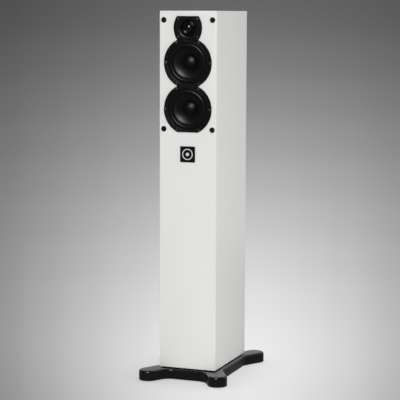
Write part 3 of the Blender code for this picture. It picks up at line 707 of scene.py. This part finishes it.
# ---------------------------------------------------------------------------
# parts shared by the drivers
# ---------------------------------------------------------------------------
def plate_rings(runs, outline):
    """Rings that share the outline's own angles, from runs of ("circle",
    [(radius, height)]) and ("outline", [(inset, height)])."""
    angles = [math.atan2(y, x) for x, y in outline(0.0)]
    rings = []
    for kind, stations in runs:
        for value, h in stations:
            if kind == "circle":
                rings.append(circle(value, h, angles))
            else:
                rings.append([(x, y, h) for x, y in outline(value)])
    return rings


def screw_head(radius, low, high):
    """Domed head with a hexagon socket."""
    angles = even(36)
    rise = high - low
    rings = [[(0, 0, low)], circle(radius, low, angles),
             circle(radius, low + 0.35 * rise, angles)]
    for k in range(1, 6):
        a = math.pi / 2 * k / 5.0
        rings.append(circle(radius - (radius * 0.42) * (1 - math.cos(a)),
                            low + 0.35 * rise + 0.65 * rise * math.sin(a), angles))
    rings += [hexagon(radius * 0.42, high, angles),
              hexagon(radius * 0.40, high - 0.12, angles),
              hexagon(radius * 0.40, high - 0.62 * rise, angles),
              [(0, 0, high - 0.7 * rise)]]
    return sweep("screw", rings, False)


def screws(name, spots, radius, low, high, point, facing="front"):
    heads = []
    for i, (x, y) in enumerate(spots):
        head = screw_head(radius, low, high)
        head.location = (x * MM, y * MM, 0)
        head.rotation_euler = (0, 0, 0.7 * i + 0.2)     # each turned differently
        heads.append(head)
    finish(place(join(name, heads), point, facing), "plated_steel",
           material="screw_black")


SCREW_SEAT = 2.3        # floor of the screw recesses in both driver plates

# ---------------------------------------------------------------------------
# woofers
# ---------------------------------------------------------------------------
WOOFER_R = 73.6
WOOFER_OUTLINE = flatted_round(half_width=WOOFER_R, half_height=66.4, radius=WOOFER_R,
                               corner=1.6, least_corner=0.7, steps=60)
BASKET = [
    ("circle", [(62.6, 0.3)]),
    # rounded rim of the plate
    ("outline", [(0.0, 0.3), (0.0, 2.2), (0.08, 2.6), (0.30, 3.0), (0.65, 3.3),
                 (1.15, 3.47), (1.6, 3.5)]),
    # face with a shallow groove, then down the inside and back up the outside
    ("circle", [(63.4, 3.5), (63.1, 3.38), (62.7, 3.38), (62.4, 3.5), (60.5, 3.5),
                (60.15, 3.35), (60.0, 3.0), (60.0, 1.3), (59.8, 1.05), (57.4, 1.0),
                (57.0, 0.6), (57.0, -6.0), (56.6, -9.0), (53.4, -26.0), (52.0, -29.5),
                (41.2, -38.0), (33.3, -38.0), (33.0, -38.3), (33.0, -43.5),
                (18.3, -43.5), (18.0, -43.8), (18.0, -46.0), (39.6, -46.0),
                (40.2, -45.6), (43.0, -41.2), (54.8, -29.8), (56.0, -26.5),
                (60.6, -7.0), (61.2, -4.0)])]
WOOFER_SCREW_CIRCLE_R = 68.0
WOOFER_SCREWS = [(WOOFER_SCREW_CIRCLE_R * math.cos(math.radians(60 * k)),
                  WOOFER_SCREW_CIRCLE_R * math.sin(math.radians(60 * k)))
                 for k in range(6)]
WINDOW_SIZE = (26, 30, 20)      # radial, across, along the axis
WINDOW_EDGE = 3
WINDOW_R, WINDOW_HEIGHT = 57, -18.5
CONE_OUTER_R, CONE_SPAN = 42.6, 28.9
CONE_THICK = 0.9
CAP_CENTRE = -42.4              # height of the cap's sphere centre
# (radius, height) where the cap's rim comes down onto the cone
CAP_RIM = [(19.25, -12.0), (19.5, -12.35), (19.6, -12.75), (19.5, -13.05),
           (19.0, -13.5), (18.6, -13.2)]
SPIDER_INNER_R, SPIDER_SPAN = 14.2, 24.6
SPIDER_PITCH = 4.1
# part, material, (radius, height[, fillet]) profile
WOOFER_MOTOR = [
    ("top_plate", "plated_steel",
     [(38, -46.3, .4), (38, -51.3, .4), (14.5, -51.3, .2), (14.5, -46.3, .2)]),
    ("magnet", "ferrite",
     [(40, -51.6, 1.2), (40, -66.6, 1.2), (19, -66.6, .5), (19, -51.6, .5)]),
    ("yoke", "plated_steel",
     [(12.1, -46.3, .6), (12.1, -66.9), (38, -66.9, .4), (38, -72.4, 1.6),
      (4, -72.4, .6), (4, -46.3, .6)])]
WOOFER_COIL = [(13.2, -17.5, .1), (13.2, -41), (13.75, -41, .1), (13.75, -54, .1),
               (12.7, -54, .1), (12.7, -17.5, .1)]


def basket_windows():
    """Cutter for six openings in the side of the basket."""
    blocks = []
    for k in range(6):
        a = math.radians(60 * k + 30)
        bm = bmesh.new()
        bmesh.ops.create_cube(bm, size=1.0)
        bmesh.ops.scale(bm, vec=[c * MM for c in WINDOW_SIZE], verts=bm.verts)
        block = mesh_object("bar", bm)
        mod = block.modifiers.new("r", "BEVEL")
        mod.width = WINDOW_EDGE * MM
        mod.segments = 3
        apply_all(block)
        block.location = (WINDOW_R * math.cos(a) * MM, WINDOW_R * math.sin(a) * MM,
                          WINDOW_HEIGHT * MM)
        block.rotation_euler = (0, 0, a)
        blocks.append(block)
    return join("cut", blocks)


def woofer_basket(tag, point):
    basket = sweep(f"{tag}_basket", plate_rings(BASKET, WOOFER_OUTLINE), True)
    drill(basket, radius=3.7, low=SCREW_SEAT, high=9, segs=28, spots=WOOFER_SCREWS)
    drill(basket, radius=2.2, low=-9, high=6, segs=20, spots=WOOFER_SCREWS)
    combine(basket, basket_windows())
    finish(place(basket, point, "front"), "driver_frame_black", f"{tag}_frame")
    screws(f"{tag}_screws", WOOFER_SCREWS, radius=3.1, low=SCREW_SEAT, high=4.1,
           point=point)


def woofer_surround(tag, point, moving):
    """Half roll with a flat lip on each side."""
    profile = [(59.7, 1.3), (59.75, 1.7), (59.7, 2.05)]
    profile += arc(51.5, 1.6, 6.2, 4, 176, 26)
    profile += [(43.4, 2.05), (43.3, 1.7), (43.4, 1.3)]
    profile += arc(51.5, 1.3, 5.3, 176, 4, 26)
    surround = spin(f"{tag}_roll", profile, 120, closed=True)
    finish_flexing(place(surround, point, "front"), "rubber_black", f"{tag}_surround")


def woofer_cone(tag, point, moving):
    def height(radius):
        t = max(0.0, (CONE_OUTER_R - radius) / CONE_SPAN)
        return 1.05 - 8.0 * t - 12.2 * t * t

    radii = [CONE_OUTER_R - CONE_SPAN * k / 22 for k in range(23)]
    front = [(r, height(r)) for r in radii]
    back = [(r, h - CONE_THICK) for r, h in reversed(front[:-1])]
    profile = [(45.25, 0.55), (45.2, 0.95), (44.6, 1.05)] + front
    profile += [(13.7, -20.1)] + back + [(44.8, 0.1)]
    cone = spin(f"{tag}_diaphragm", profile, 120, closed=True)
    finish(place(cone, point, "front"), "cone_black", f"{tag}_cone", moving)


def woofer_cap(tag, point, moving):
    profile = arc(0, CAP_CENTRE, 36.0, 90, 58.2, 16) + CAP_RIM
    profile += arc(0, CAP_CENTRE, 35.3, 57.9, 90, 12)
    cap = spin(f"{tag}_centre_cap", profile, 96)
    finish(place(cap, point, "front"), "cone_black", f"{tag}_dust_cap", moving,
           "cap_black")


def woofer_spider(tag, point, moving):
    """Corrugated centring disc behind the cone."""
    ripple = []
    for k in range(61):
        r = SPIDER_INNER_R + SPIDER_SPAN * k / 60
        phase = math.tau * (r - SPIDER_INNER_R) / SPIDER_PITCH
        ripple.append((r, -37.2 + 0.75 * math.sin(phase)))
    profile = [(40.6, -37.0), (40.6, -37.5)]
    profile += [(r, h - 0.45) for r, h in reversed(ripple)]
    profile += [(13.5, -37.6), (13.5, -37.0)] + ripple
    spider = spin(f"{tag}_centring_disc", profile, 90, closed=True)
    finish_flexing(place(spider, point, "front"), "spider_cloth", f"{tag}_spider")


def woofer_motor(tag, point, moving):
    for part, slot, profile in WOOFER_MOTOR:
        turned = lathe(f"{tag}_{part}_turned", profile, 96, closed=True)
        finish(place(turned, point, "front"), slot, f"{tag}_{part}")
    coil = lathe(f"{tag}_coil_wound", WOOFER_COIL, 72, closed=True)
    finish(place(coil, point, "front"), "copper_winding", f"{tag}_voice_coil", moving)


for word in ("upper", "lower"):
    tag = f"woofer_{word}"
    point = (0.0, FRONT_Y, WOOFERS[word].z)
    woofer_basket(tag, point)
    for build in (woofer_surround, woofer_cone, woofer_cap, woofer_spider, woofer_motor):
        build(tag, point, f"{tag}_moving")

# ---------------------------------------------------------------------------
# tweeter
# ---------------------------------------------------------------------------
TWEETER_POINT = (0.0, FRONT_Y, TWEETER.z)
TWEETER_OUTLINE = flatted_round(half_width=43.6, half_height=33.7, radius=59.7,
                                corner=2.4, least_corner=0.9, steps=36)
TWEETER_PLATE = [
    ("circle", [(20.4, -6.4), (26.0, -6.4), (26.3, -6.1), (26.4, 0.25)]),
    # rounded rim of the plate
    ("outline", [(0.0, 0.3), (0.0, 2.3), (0.08, 2.7), (0.3, 3.05), (0.65, 3.32),
                 (1.1, 3.46), (1.5, 3.5)]),
    # flare from the face down to the dome
    ("circle", [(28.6, 3.5), (28.2, 3.45), (27.7, 3.31), (27.1, 3.07), (26.4, 2.73),
                (25.6, 2.28), (24.8, 1.78), (24.0, 1.24), (23.3, 0.66), (22.7, -0.05),
                (22.2, -0.95), (21.7, -2.1), (21.1, -3.7), (20.6, -5.1),
                (20.4, -5.7)])]
TWEETER_SCREWS = four_corners(29.5, 25.8)
DOME_CENTRE = -14.64            # height of the dome's sphere centre
# node, material, (radius, height[, fillet]) profile, closed, body
TWEETER_MOTOR = [
    ("tweeter_voice_coil", "copper_winding",
     [(13.8, -6.9, .1), (13.8, -12.5, .1), (13.1, -12.5, .1), (13.1, -6.9, .1)],
     True, "tweeter_moving"),
    ("tweeter_magnet", "ferrite",
     [(29, -8.5, .8), (29, -18, .6), (14.6, -18, .3), (14.6, -8.5, .3)], True, "root"),
    ("tweeter_yoke", "plated_steel",
     [(12.4, -8.5, .5), (12.4, -18.3), (29, -18.3, .3), (29, -23, 1.2), (4, -23, .4),
      (4, -8.5, .4)], True, "root"),
    ("tweeter_rear_cup", "moulded_plastic",
     [(0, -39), (22, -39, 1.5), (22, -23.3, .3), (24, -23.3, .3), (24, -41, 2.5),
      (0, -41)], False, "root")]

plate = sweep("tweeter_front_plate", plate_rings(TWEETER_PLATE, TWEETER_OUTLINE), True)
drill(plate, radius=3.5, low=SCREW_SEAT, high=9, segs=28, spots=TWEETER_SCREWS)
drill(plate, radius=2.0, low=-9, high=6, segs=20, spots=TWEETER_SCREWS)
finish(place(plate, TWEETER_POINT, "front"), "driver_frame_black", "tweeter_faceplate")
screws("tweeter_screws", TWEETER_SCREWS, radius=2.9, low=SCREW_SEAT, high=4.0,
       point=TWEETER_POINT)

# dome and roll over the front, a lip, then back along the underside
profile = arc(0, DOME_CENTRE, 16.0, 90, 33.1, 20) + arc(17.0, -5.9, 2.6, 168, 6, 26)
profile += [(19.7, -5.85), (19.9, -5.95), (19.9, -6.4), (19.5, -6.45)]
profile += arc(17.0, -6.1, 2.15, 8, 170, 16) + [(13.9, -6.5)]
profile += arc(0, DOME_CENTRE, 15.55, 33.0, 90, 16)
dome = spin("tweeter_dome", profile, 96)
finish_flexing(place(dome, TWEETER_POINT, "front"), "dome_cloth", "tweeter_diaphragm")

for name, slot, profile, closed, body in TWEETER_MOTOR:
    turned = lathe(name + "_turned", profile, 80, closed)
    finish(place(turned, TWEETER_POINT, "front"), slot, name, body)

# ---------------------------------------------------------------------------
# grille sockets and badge
# ---------------------------------------------------------------------------
# (radius, height[, fillet]) of a flanged cup with a blind hole
SOCKET_CUP = [
    (0, -8), (2.6, -8, .2), (2.6, -0.9, .5), (3.5, -0.15, .4), (4.6, -0.15, .2),
    (4.9, 0.1, .2), (7.6, 0.1, .3), (8.2, -0.35, .3), (8.2, -11.5, .5), (0, -11.5)]
for name, centre in SOCKETS.items():
    cup = lathe(name + "_cup", SOCKET_CUP, 64)
    finish(place(cup, (centre.x, FRONT_Y, centre.z), "front"), "moulded_plastic", name)

# gloss plate with a plain ring and dot, whose feet sink into the plate
BADGE_SIDE = 46.4
MARK_LOW, MARK_TOP, MARK_EDGE = 1.6, 2.1, 0.12
RING_OUTER_R, RING_INNER_R, DOT_R = 16.2, 13.6, 5.2
badge_centre = mid("badge_plate")
badge_point = (badge_centre.x, FRONT_Y, badge_centre.z)
badge = slab("badge_gloss_plate", rounded_rect(BADGE_SIDE, BADGE_SIDE, radius=2.5),
             low=0.3, high=1.8, edge_top=0.5, edge_low=0.1, steps=5)
finish(place(badge, badge_point, "front"), "badge_black", "badge_plate")
ring = lathe("ring", [
    (RING_OUTER_R, MARK_LOW), (RING_OUTER_R, MARK_TOP, MARK_EDGE),
    (RING_INNER_R, MARK_TOP, MARK_EDGE), (RING_INNER_R, MARK_LOW)], 96, closed=True)
dot = lathe("dot", [(0, MARK_TOP), (DOT_R, MARK_TOP, MARK_EDGE), (DOT_R, MARK_LOW),
                    (0, MARK_LOW)], 48)
finish(place(join("badge_mark", [ring, dot]), badge_point, "front"), "badge_black",
       material="badge_silver")

# ---------------------------------------------------------------------------
# back: port, terminal plate, posts
# ---------------------------------------------------------------------------
PORT_BORE_R = 22.6
FLARE_LOW = -16.0
FLARE_WIDEN, FLARE_RISE = 7.6, 18.4
profile = [(25.0, -16), (25.0, -112), (24.6, -112.4), (23.0, -112.4),
           (PORT_BORE_R, -112.0), (PORT_BORE_R, FLARE_LOW)]
for k in range(1, 15):
    t = k / 14
    profile.append((PORT_BORE_R + FLARE_WIDEN * t ** 2.6, FLARE_LOW + FLARE_RISE * t))
profile += [(30.9, 2.75), (31.8, 2.9), (34.6, 2.9), (35.4, 2.7), (35.9, 2.1),
            (36.0, 1.4), (36.0, 0.3), (28.6, 0.3), (28.6, -7.0), (27.4, -10.5)]
port = spin("port_flared", profile, 96, closed=True)
finish(place(port, PORT_POINT, "back"), "moulded_plastic", "port_tube")

TERMINAL_FACE = 3.3
POST_SPACING = 19.05
TERMINAL_SCREWS = four_corners(34, 24)
board = slab("terminal_board", rounded_rect(width=80, height=60, radius=6), low=0.3,
             high=TERMINAL_FACE, edge_top=0.8, edge_low=0.1, steps=5)
well = slab("cut", rounded_rect(width=52, height=34, radius=4), low=2.7, high=8,
            edge_top=0.1, edge_low=0.1, steps=2)
combine(board, well)
drill(board, radius=3.2, low=-9, high=9, segs=36,
      spots=[(-POST_SPACING / 2, 0), (POST_SPACING / 2, 0)])
drill(board, radius=1.9, low=-9, high=9, segs=24, spots=TERMINAL_SCREWS)
finish(place(board, TERMINAL_POINT, "back"), "moulded_plastic", "terminal_plate")
screws("terminal_screws", TERMINAL_SCREWS, radius=3.3, low=3.35, high=5.3,
       point=TERMINAL_POINT, facing="back")

# (radius, height[, fillet]), heights from the terminal plate's face
POST_STEM = [
    (0, 5), (2.0, 5), (2.0, 22, .2), (2.8, 22, .25), (2.8, 3.3, .1), (5.6, 3.3, .3),
    (5.6, 0.3, .2), (2.8, 0.3), (2.8, -16, .4), (0, -16)]
POST_WASHER = [(5.6, 5.1, .2), (5.6, 3.6, .2), (3.1, 3.6, .1), (3.1, 5.1, .1)]
# (radius, height, flute depth)
POST_KNOB = [
    (3.1, 5.4, 0), (5.9, 5.4, 0), (6.4, 5.7, 0), (6.6, 6.3, 0), (6.6, 8.0, 0),
    (7.0, 8.5, 0.15), (7.0, 9.2, 0.55), (7.0, 19.6, 0.55), (6.9, 20.4, 0.4),
    (6.3, 21.1, 0), (5.7, 21.4, 0), (5.0, 21.5, 0), (3.3, 21.5, 0), (3.1, 21.3, 0)]
KNOB_FLUTES = 12


def fluted(radius, height, depth):
    points = []
    for a in even(144):
        dip = max(0.0, math.cos(KNOB_FLUTES * a)) ** 1.5
        reach = radius - depth * dip
        points.append((reach * math.cos(a), reach * math.sin(a), height))
    return points


for word in ("red", "black"):
    centre = mid(f"post_knob_{word}")
    point = (centre.x, BACK_Y + TERMINAL_FACE * MM, centre.z)
    stem = lathe(f"post_{word}_stem", POST_STEM, 48)
    finish(place(stem, point, "back"), "gold_plate", f"post_stem_{word}")
    washer = lathe(f"post_{word}_washer", POST_WASHER, 48, closed=True)
    finish(place(washer, point, "back"), "gold_plate", f"post_washer_{word}",
           f"washer_{word}")
    knob = sweep(f"post_{word}_knob", [fluted(*station) for station in POST_KNOB], True)
    finish(place(knob, point, "back"), f"post_{word}", f"post_knob_{word}",
           f"knob_{word}")

# ---------------------------------------------------------------------------
# backdrop tone and surroundings
# ---------------------------------------------------------------------------
scene = bpy.context.scene
scene.view_settings.view_transform = "Standard"

# (place across the picture or direction, grey)
TONE_RISE = [       # foot to top of the picture
    (0.0, 0.765), (0.10, 0.80), (0.20, 0.76), (0.30, 0.68), (0.40, 0.584),
    (0.50, 0.485), (0.60, 0.386), (0.70, 0.301), (0.80, 0.227), (0.90, 0.168),
    (1.0, 0.127)]
FALL_STORED = 0.9   # ramps stop at 1, so the sideways falloff is stored at this share
TONE_FALL = [       # left to right
    (0.0, 0.423), (0.0625, 0.491), (0.1625, 0.605), (0.2625, 0.72), (0.3625, 0.825),
    (0.48, 0.905), (0.6, 0.93), (0.675, 0.916), (0.75, 0.868), (0.825, 0.804),
    (0.9, 0.729), (1.0, 0.612)]
# the falloff's exponent is FOOT at the picture's foot and changes by CHANGE upward
FALL_POWER_FOOT, FALL_POWER_CHANGE = 1.32, -0.70
# surroundings from the front (-Y, 0) to the back (+Y, 1)
ROOM_MIRRORED = [(0.0, 0.045), (0.35, 0.055), (0.5, 0.12), (0.65, 0.34), (1.0, 0.56)]
ROOM_SOFT = [(0.0, 0.12), (0.35, 0.14), (0.5, 0.20), (0.7, 0.32), (1.0, 0.50)]


def grey_ramp(tree, fac, stops):
    node = add_node(tree, "ShaderNodeValToRGB", {"Fac": fac})
    ramp = node.color_ramp
    ramp.interpolation = "CARDINAL"
    for element, (position, grey) in zip(ramp.elements, (stops[0], stops[-1])):
        element.position = position
        element.color = (grey, grey, grey, 1)
    for position, grey in stops[1:-1]:
        ramp.elements.new(position).color = (grey, grey, grey, 1)
    return node.outputs["Color"]


def tone(tree):
    """Grey at the top of the picture to near white at its foot, with a soft
    pool of light right of the middle that falls off to both sides."""
    coord = add_node(tree, "ShaderNodeTexCoord")
    window = add_node(tree, "ShaderNodeSeparateXYZ", {0: coord.outputs["Window"]})
    rise = grey_ramp(tree, window.outputs["Y"], TONE_RISE)
    fall = grey_ramp(tree, window.outputs["X"], TONE_FALL)
    restored = add_node(tree, "ShaderNodeMath", {0: fall, 1: FALL_STORED},
                        operation="DIVIDE")
    power = add_node(tree, "ShaderNodeMath", {
        0: window.outputs["Y"], 1: FALL_POWER_CHANGE, 2: FALL_POWER_FOOT},
        operation="MULTIPLY_ADD")
    shaped = add_node(tree, "ShaderNodeMath", {
        0: restored.outputs[0], 1: power.outputs[0]}, operation="POWER")
    both = add_node(tree, "ShaderNodeVectorMath", {
        0: rise, "Scale": shaped.outputs[0]}, operation="SCALE")
    return both.outputs["Vector"]


def build_world():
    """The camera sees the backdrop tone.  Everything else meets a dark studio in
    front of the speaker and a pale one behind, steeper in reflections."""
    world = bpy.data.worlds.new("studio")
    scene.world = world
    world.use_nodes = True
    tree = world.node_tree
    tree.nodes.clear()
    path = add_node(tree, "ShaderNodeLightPath")
    seen = add_node(tree, "ShaderNodeBackground", {"Color": tone(tree)})
    coord = add_node(tree, "ShaderNodeTexCoord")
    direction = add_node(tree, "ShaderNodeSeparateXYZ", {0: coord.outputs["Generated"]})
    depth = add_node(tree, "ShaderNodeMapRange", {
        "From Min": -1.0, "From Max": 1.0,
        "Value": direction.outputs["Y"]}).outputs["Result"]
    mirrored, soft = (
        add_node(tree, "ShaderNodeBackground", {"Color": grey_ramp(tree, depth, stops)})
        for stops in (ROOM_MIRRORED, ROOM_SOFT))
    room = add_node(tree, "ShaderNodeMixShader", {
        0: path.outputs["Is Glossy Ray"], 1: soft.outputs[0], 2: mirrored.outputs[0]})
    mix = add_node(tree, "ShaderNodeMixShader", {
        0: path.outputs["Is Camera Ray"], 1: room.outputs[0], 2: seen.outputs[0]})
    add_node(tree, "ShaderNodeOutputWorld", {0: mix.outputs[0]})


build_world()

# ---------------------------------------------------------------------------
# floor: glows with the backdrop tone, with a painted contact shadow (ambient occlusion)
# darkening it close to the speaker
# ---------------------------------------------------------------------------
FLOOR_R = 2.2
FLOOR_DROP = 0.0002
CONTACT_REACH = 0.16            # metres of contact shading around the speaker
CONTACT_DARKEST = 0.62
FLOOR_SOFT, FLOOR_MIRRORED = 0.63, 0.145    # brightness to light and reflections


def floor_material():
    material = bpy.data.materials.new("studio_floor")
    material.use_nodes = True
    tree = material.node_tree
    tree.nodes.clear()
    # painted contact shadow: ambient occlusion darkens the floor's glow near the speaker
    contact = add_node(tree, "ShaderNodeAmbientOcclusion", {"Distance": CONTACT_REACH},
                       samples=12)
    shade = add_node(tree, "ShaderNodeMapRange", {
        "To Min": CONTACT_DARKEST, "To Max": 1.0, "Value": contact.outputs["AO"]})
    seen = add_node(tree, "ShaderNodeVectorMath", {
        0: tone(tree), "Scale": shade.outputs["Result"]}, operation="SCALE")
    path = add_node(tree, "ShaderNodeLightPath")
    unseen = add_node(tree, "ShaderNodeMapRange", {
        "To Min": FLOOR_SOFT, "To Max": FLOOR_MIRRORED,
        "Value": path.outputs["Is Glossy Ray"]})
    pick = add_node(tree, "ShaderNodeMix", {
        "Factor": path.outputs["Is Camera Ray"], "A": unseen.outputs["Result"],
        "B": seen.outputs["Vector"]}, data_type="VECTOR")
    glow = add_node(tree, "ShaderNodeEmission", {
        "Color": next(s for s in pick.outputs if s.type == "VECTOR")})
    # seen from below, the floor is clear, so the feet and plinth can be looked at
    clear = add_node(tree, "ShaderNodeBsdfTransparent")
    side = add_node(tree, "ShaderNodeNewGeometry")
    below = add_node(tree, "ShaderNodeMath", {
        0: side.outputs["Backfacing"], 1: path.outputs["Is Camera Ray"]},
        operation="MULTIPLY")
    sheet = add_node(tree, "ShaderNodeMixShader", {
        0: below.outputs[0], 1: glow.outputs[0], 2: clear.outputs[0]})
    add_node(tree, "ShaderNodeOutputMaterial", {"Surface": sheet.outputs[0]})
    return material


bm = bmesh.new()
bmesh.ops.create_circle(bm, cap_ends=True, segments=128, radius=FLOOR_R)
floor = mesh_object("studio_floor", bm)
floor.location = (0, 0, -FLOOR_DROP)
floor.data.materials.append(floor_material())


# ---------------------------------------------------------------------------
# lights and camera
# ---------------------------------------------------------------------------
def softbox(name, position, target, power, width, height, mirrored=False):
    light = bpy.data.lights.new(name, "AREA")
    light.shape = "RECTANGLE"
    light.size = width
    light.size_y = height
    light.energy = power
    obj = bpy.data.objects.new(name, light)
    scene.collection.objects.link(obj)
    obj.location = position
    aim = Vector(target) - Vector(position)
    obj.rotation_euler = aim.to_track_quat("-Z", "Y").to_euler()
    obj.visible_glossy = mirrored
    return obj


softbox("key", position=(0.55, -7.1, 4.9), target=(0, 0, 0.7), power=510,
        width=2.9, height=2.9, mirrored=True)
softbox("back_fill", position=(-3.6, 4.4, 4.6), target=(0, 0, 0.7), power=190,
        width=2.6, height=2.6)
softbox("left_fill", position=(-6.5, 1.3, 1.5), target=(0, 0, 0.6), power=75,
        width=2.6, height=2.6)
softbox("side_fill", position=(6.8, -0.9, 0.55), target=(0, 0, 0.3), power=170,
        width=2.6, height=1.0)
low_fill = softbox("low_fill", position=(1.15, -0.35, 0.12), target=(0.09, 0, 0.16),
                   power=1.0, width=0.7, height=0.12)
low_fill.visible_camera = False

# the eye, in metres from the middle of the baffle's bottom edge
EYE_X, EYE_Y, EYE_Z = 1.56765, -4.044075, 1.034425
YAW, PITCH, ROLL = (math.radians(a) for a in (-20.71, -7.007, 0.197))
forward = Vector((math.sin(YAW) * math.cos(PITCH), math.cos(YAW) * math.cos(PITCH),
                  math.sin(PITCH)))
level = Vector((math.cos(YAW), -math.sin(YAW), 0.0))
upright = level.cross(forward)
right = level * math.cos(ROLL) + upright * math.sin(ROLL)
up = -level * math.sin(ROLL) + upright * math.cos(ROLL)
eye = Vector((EYE_X, EYE_Y + FRONT_Y, EYE_Z + CAB_LO.z))

lens = bpy.data.cameras.new("camera")
lens.lens = 135.063
lens.sensor_width = 36.0
lens.clip_end = 100
camera = bpy.data.objects.new("camera", lens)
scene.collection.objects.link(camera)
camera.matrix_world = Matrix((
    (right.x, up.x, -forward.x, eye.x), (right.y, up.y, -forward.y, eye.y),
    (right.z, up.z, -forward.z, eye.z), (0, 0, 0, 1)))
scene.camera = camera
